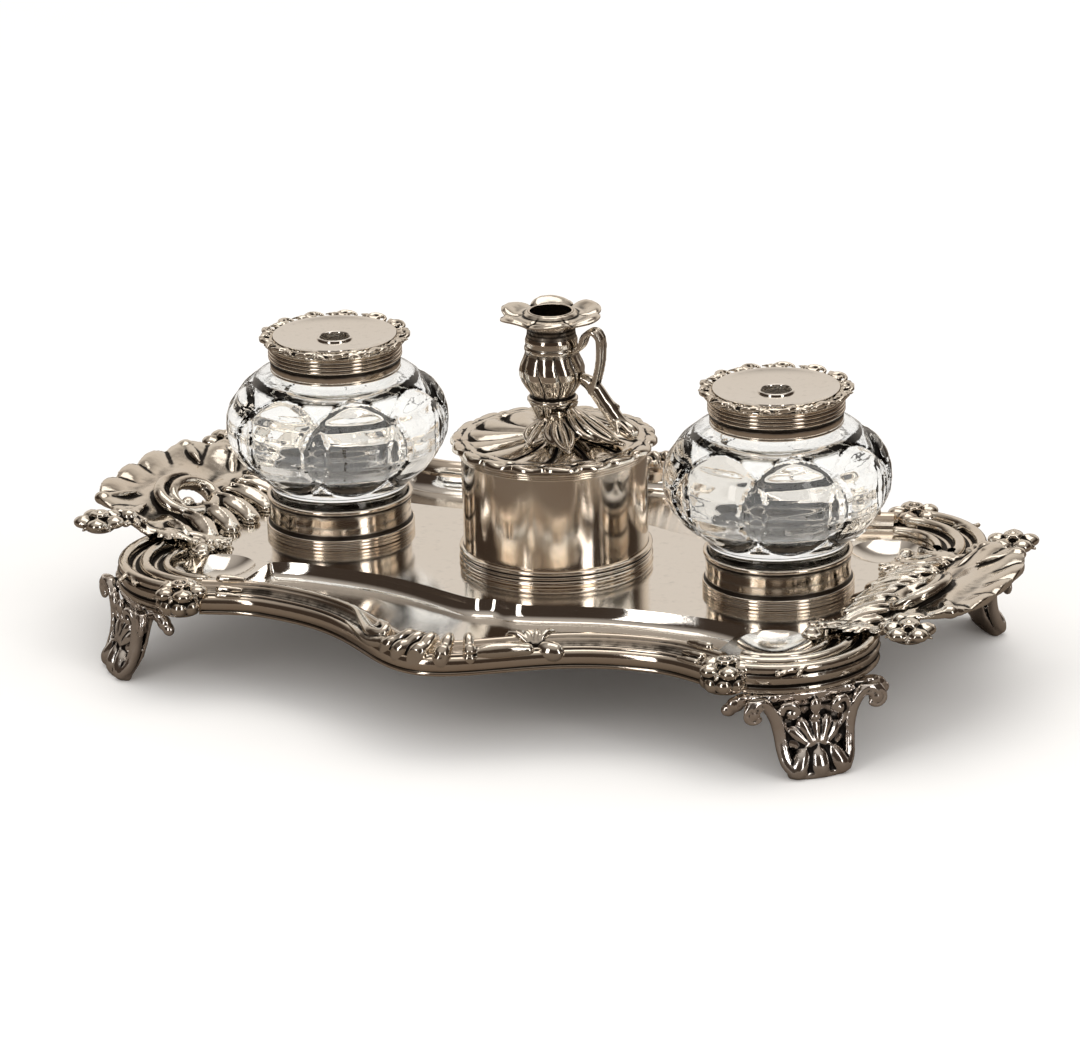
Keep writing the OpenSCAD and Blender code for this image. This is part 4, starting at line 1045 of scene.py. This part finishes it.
def makeTaperHandle():
    # Strap loop, ribbed stem with a leaf, and the acanthus skirt on the cover
    loop = curve([(8.4, 0, 72.2), (11.0, 0, 74.4), (12.6, 0, 78.2), (15.2, 0, 79.8), (17.2, 0, 78.6), (18.0, 0, 76),
                  (17.7, 0, 70), (16.4, 0, 64), (14.6, 0, 58.6)], 40)
    half = [(-1, -0.4), (-0.86, -1.0), (-0.45, -0.6), (0, -1.1), (0.45, -0.6), (0.86, -1.0), (1, -0.4)]
    strap = half + [(q, -w) for q, w in half[::-1]]
    rings = []
    for i, p in enumerate(loop):
        d = loop[min(i + 1, 39)] - loop[max(i - 1, 0)]
        d /= np.linalg.norm(d)
        side = np.array([-d[2], 0, d[0]])
        rings.append([p + np.array([0, handleLook["width"] * q, 0]) + side * w for q, w in strap])
    stem = curve([(7.9, 0, 64.3), (10.5, 0, 63.2), (14.5, 0, 61.2), (19.5, 0, 54.8), (24, 0, 49.2), (28.0, 0, 46.7)],
                 36)
    parts = [loft(rings), tube(stem, taper(36, *handleLook["stem"]), 16)]
    for k, up in ((-1, 0.7), (0, 1.3), (1, 0.7)):
        parts.append(tube(stem[6:] + (0.1, k * 1.6, up), taper(30, *handleLook["reeds"]), 8))
    parts.append(ball((28.2, 0, 46.8), 2.6, (1, 1.05, 0.95)))
    parts += frond((22, -1.5, 50.4), -20, 8.5, 18, 3, 0.6, 0.9, 0.8, 20, -2.5)
    parts += frond((14, 0, 60), 8, 9, 16, 3, 0.6, 0.9, 1.0, 20, -5.5)
    # skirt: leaves that hug the cup's foot and spread over the cover
    for a, length, tall, ribs in ((-8, 22, 11, 5), (38, 17, 8, 5), (-52, 17, 8.5, 5), (84, 12, 6, 3), (-96, 12, 6, 3)):
        for side in np.linspace(-1, 1, ribs):
            path = []
            for i in range(12):
                t = i / 11
                w = radians(a + side * (30 * sin(pi * min(1, t * 0.9 + 0.1)) * 0.75))
                z = 43.0 + tall * (1 - t) ** 1.8 + 1.1 * sin(pi * t) + 0.5
                path.append(polar(5.3 + length * t * (1 - 0.22 * side * side), w, z))
            parts.append(tube(path, taper(12, 0.9, 1.5, 0.95), 10, 0.8))
    parts.append(tube([(5, 0, 45.5), (13, 0, 44.6), (20, 0, 44.0)], [3.2, 3.4, 2.0], 12, 0.6))
    points, faces, hollow = cast(moved(parts, 0, rowY, plateTop), 0.38)
    # keep clear of the vase and of the cover
    radius = np.hypot(points[:, 0], points[:, 1] - rowY)
    near = np.interp(points[:, 2] - plateTop, *zip(*vaseWall))
    push = np.maximum(radius, near) / np.maximum(radius, 0.5)
    points[:, 0] *= push
    points[:, 1] = (points[:, 1] - rowY) * push + rowY
    radius = np.maximum(radius, near)
    dome = 41.6 + 1.9 * np.clip(1 - radius / 29.0, 0, 1) ** 0.8 + 0.05
    points[:, 2] = np.maximum(points[:, 2], dome + plateTop)
    addPiece("taperHandle", "taper_handle", (points, faces, hollow), "taperstick")


makeTaperHandle()
print("box and taperstick made")


# Cut-glass bottles. Each point of a line has a radius, a height above the socket's floor and how strong
# the lobes are there.

bottleLook = dict(floor=1.2, around=272, along=264, lobes=8.0, middle=34.6, halfHeight=16.8, halfWidth=0.64,
                  bulge=2.9, groove=0.8, grooveWidth=0.055, turns={"left": 0.66, "right": 0.761})
bottleOutside = [
    (0.01, 0, 0), (21.4, 0, 0), (22.4, 0.3, 0), (22.7, 1.0, 0), (22.75, 8, 0), (22.75, 14.6, 0), (23.2, 16.0, 0),
    (25.4, 17.6, 0.15), (28.9, 19.9, 0.5), (32.3, 23.2, 0.85), (35.2, 27.6, 1), (36.9, 32, 1), (37.35, 36, 1),
    (37.2, 40, 1), (36.3, 44, 1), (34.3, 48, 0.95), (31.0, 51.4, 0.7), (26.8, 53.8, 0.25), (23.4, 55.0, 0),
    (20.7, 55.8, 0), (20.05, 56.8, 0), (20.0, 60, 0), (20.0, 63.6, 0), (19.7, 63.8, 0)]
bottleInside = [
    (15.6, 63.8, 0), (15.4, 63.5, 0), (15.4, 54.2, 0), (17.6, 52.6, 0), (26.6, 49.6, 0), (30.6, 44.6, 0),
    (32.2, 38, 0), (31.4, 31, 0), (27.8, 25.6, 0), (22, 22.4, 0), (12, 21.3, 0), (0.01, 21.2, 0)]


def makeBottle(side, x):
    b = bottleLook
    # resample so that the bulb has most of the rows
    path = []
    for line, count in ((bottleOutside, 170), (bottleInside, 50)):
        line = np.array(line, float)
        steps = np.linalg.norm(np.diff(line[:, :2], axis=0), axis=1) * (0.25 + line[1:, 2])
        along = np.concatenate([[0], np.cumsum(steps)])
        path += [[np.interp(v, along, line[:, k]) for k in range(3)] for v in np.linspace(0, along[-1], count)]
    points, faces = runTree(bottleTree, Line=lineObject(path), Around=b["around"], Along=b["along"],
                            Lobes=b["lobes"], Turn=b["turns"][side], Bulge=b["bulge"] * mm,
                            Groove=b["groove"] * mm, Groove_Width=b["grooveWidth"], Lobe_Width=b["halfWidth"],
                            Lobe_Height=b["halfHeight"] * mm, Lobe_Middle=b["middle"] * mm,
                            Glass=materials["cutGlass"])
    mesh = tidyMesh(meshOf(side + "Bottle", (points + (x, rowY, plateTop + b["floor"]), faces)))
    finishPiece(side + "Bottle", side + "_bottle", mesh, "cutGlass", side + "_bottle", 30)


makeBottle("left", -bottleX)
makeBottle("right", bottleX)
print("bottles made")


# Cast ornaments, made for the corner at +x +y and mirrored to the others

def placeAll(kind, shape, material="castSilver"):
    for camel, snake, sx, sy in corners:
        addPiece(camel + kind, snake + "_" + kind.lower(), mirrored(shape, sx, sy), "tray", material)


def arcPath(radius, start, end, z, count=60):
    return [polar(radius, radians(a), z) for a in np.linspace(start, end, count)]


# a strand has its radius, height, thickness and last angle, then its curled end
scrollLook = dict(start=-21.5, end=85.0, low=-4.98, strands=(
    (17.2, 1.5, 1.45, 101, [(17.6, -9.6, 1.6), (14.4, -12.6, 1.8), (10.4, -12.2, 1.9), (8.4, -9.0, 2.0),
                            (9.8, -6.4, 2.2)]),
    (24.4, 2.3, 2.05, 93, [(22.2, -10.9, 2.4), (19.2, -14.2, 2.4), (15.4, -15.2, 2.2), (12.4, -13.4, 2.0)]),
    (31.55, 2.65, 1.95, 84, [(28.6, -13.8, 2.6), (24.2, -18.0, 2.5), (18.0, -18.8, 2.3), (12.8, -17.6, 2.0),
                             (9.2, -14.6, 1.6)])))


def makeCornerScroll():
    s = scrollLook
    start, end = s["start"], s["end"]
    # the hollowed band below the strands
    band = [(15.8, 0.05), (15.8, 0.9), (20.6, 0.75), (23, 1.6), (26, 1.6), (28.4, 0.9), (30, 1.4), (33.2, 1.5),
            (33.9, 0.2), (33.4, -1.6), (33.0, -2.4), (33.5, -3.4), (33.6, -4.4), (33.3, -4.95), (30.3, -4.95),
            (30.3, 0.05)]
    parts = [loft([[polar(r, radians(a), z) for r, z in band] for a in np.linspace(start, end, 64)])]
    for radius, z, thick, last, curl in s["strands"]:
        path = curve(curl[::-1] + arcPath(radius, start + 3, last, z, 14), 90)
        parts.append(tube(path, [thick * (0.55 + 0.45 * ease(i / 22)) for i in range(90)], 12, 0.95))
    parts.append(ball((9.9, -6.7, 2.2), 2.7, (1, 1, 0.85)))
    turns = [polar(4.2 - 1.6 * t, radians(270 * t - 120), 1.8 + 0.4 * t) for t in np.linspace(0, 1, 20)]
    parts.append(tube(np.array(turns) + (9.9, -6.7, 0), 0.8, 8))
    # thin bead lines in the hollows between the strands
    parts.append(tube(arcPath(28.3, start, end, 1.4), 0.55, 8))
    parts.append(tube(arcPath(20.8, start, end, 1.1), 0.5, 8))
    # lobed leaf at the end next to the rosette and on the curl
    parts += frond((14, -16, 1.4), 200, 9, 34, 4, 0.6, 1.25, 1.0, 20, 0.2)
    parts += frond((22, 22, 2.6), 128, 12, 20, 3, 0.5, 1.0, 0.8, 25, -0.4)
    shape = cast(moved(parts, scrollX, scrollY, plateTop), 0.42)
    points = shape[0]
    points[:, 2] = np.maximum(points[:, 2], plateTop + s["low"])
    outward = np.hypot(points[:, 0] - scrollX, points[:, 1] - scrollY)
    onPlate = plateTop + 0.06
    points[:, 2] = np.where((points[:, 2] < onPlate) & (outward < 30.2), onPlate, points[:, 2])
    placeAll("Scroll", shape)


rosetteLook = dict(petals=5, radius=9.0, height=6.9, x=97, y=79.5, turn=18)


def flower(petals, radius, height):
    # Smooth cupped petals round a ring with a button in it
    def rib(angle, spots, size):
        return tube([polar(radius * t, angle, height * z) for t, z in spots], size, 8)

    parts = [ball((0, 0, height * 0.1), radius * 0.62, (1, 1, 0.42), 20)]
    for k in range(petals):
        a = 2 * pi * (k + 0.5) / petals
        parts.append(ball(polar(radius * 0.62, a, height * 0.36), radius * 0.375, (1, 1, 0.62), 20))
        parts.append(rib(a, ((0.35, 0.56), (0.55, 0.66), (0.75, 0.62), (0.9, 0.44)), radius * 0.05))
        sizes = [radius * q for q in (0.1, 0.13, 0.06)]
        parts.append(rib(a + pi / petals, ((0.4, 0.2), (0.7, 0.26), (0.86, 0.14)), sizes))
    cup = [polar(radius * 0.27, b, height * 0.72) for b in np.linspace(0, 2 * pi, 30)]
    return parts + [tube(cup, radius * 0.085), ball((0, 0, height * 0.7), radius * 0.16, (1, 1, 1.1), 14)]


def makeRosettes():
    r = rosetteLook
    parts = turned(flower(r["petals"], r["radius"], r["height"]), r["turn"])
    # a lobed skirt below it covers the ends of the mouldings
    angles = np.linspace(0, 2 * pi, 41)[:-1]
    parts.append(loft([[polar(wide, b, z) for b in angles] for wide, z in ((5.6, -4.8), (7.3, -2.4), (6.9, 1.0))]))
    parts += [ball(polar(5.4, radians(42 * k - 14), -1.6), 3.0, (1, 1, 0.95), 14) for k in range(5)]
    shape = cast(moved(parts, r["x"], r["y"], plateTop), 0.31)
    shape[0][:, 2] = np.maximum(shape[0][:, 2], plateTop - 4.9)
    placeAll("Rosette", shape)


makeCornerScroll()
makeRosettes()
print("corner scrolls and rosettes made")

shellLook = dict(ringX=133.5, ringY=-6.0, holeX=5.2, holeY=8.6, tip=161.0, start=119.0, root=120.2, half=40.0,
                 rise=9.6, sheet=2.4, flutes=9 * 1.06, fanX=114, turnEnds=(145.5, 45.5), power=3.2)


def shellRise(x):
    return 0.25 + shellLook["rise"] * ease((x - 122.2) / 24.5)


def fromOpening(r, angle):
    return shellLook["ringX"] + r * cos(angle), shellLook["ringY"] + r * sin(angle)


def fanAngle(x, y):
    return atan2(y, x - shellLook["fanX"])


def shellReach(angle):
    # distance from the pierced opening to the shell's outline, found by halving
    k = shellLook
    low, high = 4.0, 60.0
    for _ in range(26):
        middle = (low + high) / 2
        x, y = fromOpening(middle, angle)
        share = (max(0, x - k["root"]) / (k["tip"] - k["root"])) ** k["power"] + (abs(y) / k["half"]) ** k["power"]
        low, high = (middle, high) if x > k["start"] and share < 1 else (low, middle)
    return low


def shellRow(a):
    # Fluted fan from the pierced opening out to the beaded edge
    k = shellLook
    inner = 1 / sqrt((cos(a) / k["holeX"]) ** 2 + (sin(a) / k["holeY"]) ** 2)
    outer = shellReach(a)
    edgeX, edgeSide = fromOpening(outer, a)
    side = ease((edgeX - 128) / 12)
    wave = abs(cos(k["flutes"] * fanAngle(edgeX, edgeSide)))
    row = []
    for t in np.linspace(0, 1, 42):
        x, y = fromOpening(inner + (outer * (1 - 0.02 * side * (1 - wave)) - inner) * t, a)
        base = shellRise(x)
        dish = -2.5 * sin(pi * min(1, t * 1.1)) ** 1.3 * side
        flute = 2.1 * side * ease((t - 0.5) / 0.4) * (wave ** 0.7 - 0.62)
        z = base + k["sheet"] + dish + flute + 0.9 * (1 - ease(t / 0.12))
        row.append(((x, y, max(z, 0.6)), (x, y, max(0.06, min(base + 0.3, z - 1.0)))))
    return row


def shellRing():
    # Volute ring round the opening: it starts as a snail inside and runs round to the front
    k = shellLook
    path = []
    for i in range(70):
        t = i / 69
        a = radians(560 * t - 150)
        inward = 1 - min(1, t * 1.9)
        q = 0.26 + 1.06 * ease(1 - inward)
        x = k["ringX"] + (k["holeX"] + 1.1) * q * cos(a) - 1.6 * inward
        y = k["ringY"] + (k["holeY"] + 1.1) * q * sin(a) - 3.2 * inward
        path.append((x, y, shellRise(x) + 2.7 + 0.8 * t))
    snail = (k["ringX"] - 1.9, k["ringY"] - 3.4, shellRise(k["ringX"] - 2) + 2.9)
    sizes = [0.8 + 1.75 * ease(i / 30) - 1.3 * ease((i - 48) / 21) for i in range(70)]
    return [tube(path, sizes, 12), ball(snail, 2.3, (1, 1, 0.9), 14)]


def shellBeads():
    # A bead at the end of each flute, with a rib behind it and a smaller bead beside it
    parts = []
    outline = []
    for a in np.linspace(-pi, pi, 721):
        out = shellReach(a)
        outline.append((a, out, fanAngle(*fromOpening(out, a))))
    for i in range(-4, 5):
        a, out, _ = min(outline, key=lambda e: abs(e[2] - i * pi / shellLook["flutes"]))
        line = []
        for d, w in ((1.9, 0), (6, 0.04), (11, 0.1), (15, 0.17)):
            x, y = fromOpening(out - d, a + w)
            line.append((x, y, shellRise(x) + 2.0 - 0.05 * d))
        x, y, z = line[0]
        if x > 125:
            parts.append(ball(line[0], 3.0, (1, 1, 0.75), 16))
            parts.append(smoothBar(line, 12, (2.3, 1.7, 0.5), 12, 0.7))
            parts.append(ball((x - 3.4 * sin(a), y + 3.4 * cos(a), z - 0.4), 1.6, (1, 1, 0.8)))
    return parts


def shellComb():
    # Leaf lobes that lie on the plate
    parts = []
    for y, length, turn, wide in ((31, 11, 150, 3.0), (22, 14.5, 162, 3.6), (12, 16.5, 172, 3.9), (1.5, 17, 180, 4.0),
                                  (-9, 16, 186, 3.9), (-19, 14.5, 194, 3.6), (-29, 12, 204, 3.2)):
        spine = []
        for t in np.linspace(0, 1, 16):
            z = 1.5 + 3.6 * (1 - t) ** 1.5 + 0.9 * sin(pi * t)
            spine.append(polar(length * t, radians(turn + 26 * (t - 0.4)), z))
        spine = np.array(spine) + (127.5, y * 0.95, 0)
        parts.append(tube(spine, taper(16, 2.0, wide, wide * 0.86), 14, 0.62))
        parts.append(tube(spine[1:-1] + (0, 0, wide * 0.58), taper(14, 0.5, 0.75, 0.5), 8))
    return parts


def shellSide(s):
    # S scroll leaves between the shell and a corner scroll, and the rosette at the shell's end
    body = [(139, 32, 8.0), (133, 36.5, 5.2), (127, 35.5, 3.6), (121, 31.5, 3.0), (115, 30.5, 2.6), (110.5, 33, 2.4)]
    parts = [smoothBar([(x, s * y, z) for x, y, z in body], 34, (1.6, 2.6, 1.3), 12, 0.85)]
    parts += frond((130, s * 34, 4.6), 180 - s * 26, 17, 26, 5, 0.7, 1.5, 1.4, 26, -1.6)
    parts += frond((139, s * 33, 7.6), 110 * s, 9, 34, 4, 0.7, 1.5, 0.9, 20, 0.6)
    parts.append(ball((110.6, s * 33.6, 2.5), 1.9, (1, 1, 0.8)))
    x, y = shellLook["turnEnds"]
    parts += moved(flower(5, 8.9, 6.9), x, s * y, 7.3)
    return parts + [tube([(141, s * 33, 8.6), (143.5, s * 40, 8.4)], 3.0)]


def makeShell():
    parts = [sheet(540, shellRow)] + shellRing() + shellBeads() + shellComb() + shellSide(-1) + shellSide(1)
    shape = cast(moved(parts, 0, 0, plateTop), 0.52)
    points = shape[0]
    points[:, 0] = np.minimum(points[:, 0], 161.3)
    points[:, 2] = np.clip(points[:, 2], plateTop + 0.05, plateTop + 14.6)
    # leave the corner scrolls' places free
    free = plateTop + 5.0
    for s in (-1, 1):
        dx, dy = points[:, 0] - scrollX, points[:, 1] - s * scrollY
        angle = np.degrees(np.arctan2(dy * s, dx))
        near = (np.hypot(dx, dy) < 34.1) & (angle > -22.5) & (angle < 101) & (points[:, 2] < free)
        points[:, 2] = np.where(near, free, points[:, 2])
    addPiece("leftShellHandle", "left_shell_handle", mirrored(shape, -1, 1))
    addPiece("rightShellHandle", "right_shell_handle", shape)


makeShell()
print("shell handles made")

# levels of the foot's shield: height, distance out, half width, half thickness
footLook = dict(top=26.95, bow=5.0, bowWidth=24, levels=(
    (0.02, 36.6, 10.0, 2.9), (1.6, 36.4, 10.4, 3.2), (4, 34.6, 10.6, 3.0), (8, 32.0, 11.2, 2.4),
    (13, 30.6, 12.0, 2.0), (18, 30.2, 13.6, 1.9), (22, 30.6, 16.2, 2.0), (25, 30.8, 19.6, 2.3),
    (26.95, 30.4, 21.5, 2.8)))


def footBow(v):
    return footLook["bow"] * (v / footLook["bowWidth"]) ** 2


def footShield():
    rings = []
    for z, u, wide, thick in footLook["levels"]:
        ring = []
        for i in range(32):
            a = 2 * pi * i / 32
            v = wide * sin(a)
            dish = 1.3 * cos(pi * v / wide / 2) if 6 < z < 24 and cos(a) > 0 else 0
            ring.append((u + thick * cos(a) - dish - footBow(v), v, z))
        rings.append(ring)
    return loft(rings)


def footSide(s):
    def across(points):
        return [(u, s * v, z) for u, v, z in points]

    side = curve(across([(32.0, 20.2, 21.4), (33.4, 22.4, 23.6), (33.2, 20.6, 26.0), (32.8, 17.0, 25.2),
                         (32.6, 13.6, 20.4), (32.8, 12.0, 14.6), (33.8, 11.4, 9.4), (35.6, 10.6, 5.2),
                         (37.6, 8.8, 2.6)]), 60)
    inner = curve(across([(32.8, 8.2, 19.6), (34.2, 6.2, 21.2), (34.4, 7.4, 23.6), (33.6, 10.4, 23.4),
                          (32.8, 11.0, 19.6), (32.6, 9.4, 14.2), (32.8, 8.2, 9.6)]), 44)
    eye = [(34.2, s * 20.9 + 2.7 * cos(b) * s, 22.6 + 2.7 * sin(b)) for b in np.linspace(-2.4, 2.6, 22)]
    parts = [tube(side, [1.2 + 0.7 * ease(i / 20) for i in range(60)], 12),
             tube(side[8:] + (1.5, -s * 1.2, 0), 0.55, 8),
             ball((33.4, s * 20.9, 22.6), 2.5, (0.9, 1, 1)),
             tube(eye, 0.95, 8),
             tube(inner, [1.3 - 0.5 * ease((i - 24) / 20) for i in range(44)]),
             ball((34.1, s * 7.9, 20.8), 1.9, (0.9, 1, 1))]
    # rocaille lobes that hang below the rim
    for v, z, r in ((24.0, 24.6, 2.0), (21.6, 26.4, 1.9), (26.0, 22.8, 1.7), (17.4, 26.2, 1.7), (12.6, 26.4, 1.6)):
        parts.append(ball((31.6 - footBow(v), s * v, z - 0.6), r * 1.35, (0.85, 1.15, 0.95), 14))
    return parts


def footToe():
    # Fan of leaf lobes over the toe, and its three lobes
    parts = []
    for b in range(-54, 55, 18):
        length = 11.5 - 0.0011 * b * b
        path = []
        for t in np.linspace(0, 1, 12):
            u = 34.6 - 2.9 * t + 1.9 * sin(pi * t) + 0.9 * ease((t - 0.6) / 0.4)
            path.append((u, sin(radians(b)) * length * t * (1 + 0.25 * t), 6.4 + cos(radians(b)) * length * t))
        parts.append(tube(path, taper(12, 0.8, 1.4, 1.9), 10, 0.8, (1, 0, 0)))
    parts.append(ball((34.4, 0, 22.6), 2.0, (0.7, 1.0, 1.35)))
    parts.append(ball((34.2, 0, 18.9), 1.4, (0.7, 1.3, 0.9)))
    for v, wide in ((-6.9, 3.1), (0, 3.5), (6.9, 3.1)):
        toe = curve([(33.4, v * 0.5, 10.2), (35.2, v * 0.72, 7.4), (36.8, v * 0.94, 4.4), (37.0, v * 1.05, 2.9)], 16)
        parts.append(tube(toe, taper(16, 1.6, wide * 0.95, wide), 14))
        parts.append(tube(toe[2:] + (wide * 0.75, 0, 0.9), taper(14, 0.3, 0.5, 0.45), 8))
    return parts


def makeFoot():
    block = loft([[(23.2, -8, z), (30, -8, z), (30, 8, z), (23.2, 8, z)] for z in (26.0, 30.5)])
    parts = [footShield()] + footSide(-1) + footSide(1) + footToe() + [block]
    shape = cast(moved(turned(parts, 45), scrollX, scrollY, 0), 0.43)
    points = shape[0]
    points[:, 2] = np.clip(points[:, 2], 0.03, plateTop - 1.45)
    # below the moulding the foot stays under it
    out = np.hypot(points[:, 0] - scrollX, points[:, 1] - scrollY)
    top = footLook["top"]
    points[:, 2] = np.where((out > 29.9) & (points[:, 2] > top), top, points[:, 2])
    placeAll("Foot", shape, "footSilver")


makeFoot()
print("feet made")


# Leaf sprays on the mouldings. A lobe has its start, its lean and how thick it ends.

sprayLook = dict(lobes=((-5.0, -9.0, 2.6), (0.5, -8.5, 3.0), (6.5, -7.0, 3.3), (12.5, -4.0, 3.1), (17.5, -0.5, 2.6)),
                 bud=38.2, low=-4.9, front=-103.95)
crestDistances = (0.0, 0.4, 1.8, 4.4, 5.8, 7.4, 9.2, 11.5)
crestHeights = (-2.4, -0.2, 1.3, 2.3, 3.7, 4.7, 4.2, 0.4)


def onCrest(x, u, lift=0.0):
    # a point on top of the moulding
    return (*edgeAt(x, u), float(np.interp(u, crestDistances, crestHeights)) + lift)


def drape(x, lean, first, last, lift, count=16):
    # a line over the moulding from its inner side to its outer face
    path = []
    for t in np.linspace(0, 1, count):
        u = first + (last - first) * min(1, t * 1.18)
        z = float(np.interp(u, crestDistances, crestHeights)) + lift - 2.4 * max(0, t - 0.85) / 0.15
        path.append((*edgeAt(x + lean * t, max(u, 0.2)), z))
    return path


def makeSprays():
    look = sprayLook
    parts = []
    for x, lean, thick in look["lobes"]:
        parts.append(tube(drape(x, lean, 10.8, 2.4, 0.9), taper(16, 0.9, thick * 0.72, thick), 14))
    # C scroll at the left of the leaves, with its bud
    hook = [(-43, 8.0, -0.6), (-36, 6.4, 0.5), (-29, 4.2, 1.1), (-22.5, 2.6, 1.2), (-18.5, 3.6, 1.2),
            (-19.5, 6.2, 1.0), (-23.5, 6.4, 0.9)]
    low = [(-36, 2.4, -0.2), (-28, 1.4, 0.2), (-21, 1.2, 0.1), (-15.5, 2.2, 0.4)]
    # plain swelling, then the round bud with a small leaf above
    swell = [(17, 2.8, -0.4), (22, 2.6, 0.2), (28, 2.4, 0.3), (32.4, 2.4, -0.2)]
    for spots, count, sizes, sides in ((hook, 54, (0.7, 2.3, 1.3), 12), (low, 30, (0.6, 1.9, 2.0), 12),
                                       (swell, 30, (1.6, 2.9, 2.2), 14)):
        parts.append(smoothBar([onCrest(*spot) for spot in spots], count, sizes, sides))
    parts.append(ball((*edgeAt(-22.4, 5.2), 4.0), 1.7, (1, 1, 0.9), 14))
    x, y = edgeAt(-11.5, 9.4)
    parts.append(ball((x, y, 4.4), 2.3, (1, 1, 0.7), 14))
    parts += [ball((x + 2.6 * cos(a), y + 2.6 * sin(a), 3.9), 1.35, (1, 1, 0.7))
              for a in (2 * pi * k / 5 for k in range(5))]
    parts.append(ball((*edgeAt(look["bud"], 2.6), 0.2), 3.9, (1.3, 0.85, 0.9), 20))
    for lean, first in ((-6.0, 9.8), (-2.5, 10.6), (1.5, 10.6), (5.0, 9.4)):
        path = drape(look["bud"] - 3.8 + lean, -lean, first, 3.8, 0.5, 12)
        parts.append(tube(path, taper(12, 1.2, 1.1, 0.5)))
    # curled ends of the reeds near the rosettes
    for s in (-1, 1):
        for u, r in ((7.6, 1.7), (4.4, 1.4), (1.6, 1.3)):
            z = onCrest(0, u)[2] + 0.1
            path = [(*edgeAt(s * x, u + w), z) for x, w in ((78, 0), (81.5, 0.2), (84.6, 0.5))]
            parts.append(tube(path, (r * 0.6, r, r)))
    shape = cast(moved(parts, 0, 0, plateTop), 0.38)
    points = shape[0]
    points[:, 2] = np.maximum(points[:, 2], plateTop + look["low"])
    # what stands out past the moulding's face is pressed back
    face = np.array([-edgeY(x) for x in points[:, 0]]) - 1.4
    y = points[:, 1]
    points[:, 1] = np.maximum(y, np.where(y < face, face + 0.3 * (y - face), y))
    points[:, 1] = np.maximum(points[:, 1], look["front"])
    addPiece("frontSpray", "front_rim", shape)
    addPiece("backSpray", "back_rim", mirrored(shape, 1, -1))


makeSprays()
print("leaf sprays made")

# CAD nodes shown as they are
for node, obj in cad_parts.items():
    if node.endswith(("_stud", "_nut", "_bezel", "_plaster")):
        obj.data.materials.clear()
        obj.data.materials.append(materials["plaster" if node.endswith("_plaster") else "tarnishedSilver"])
print("hidden fittings dressed")
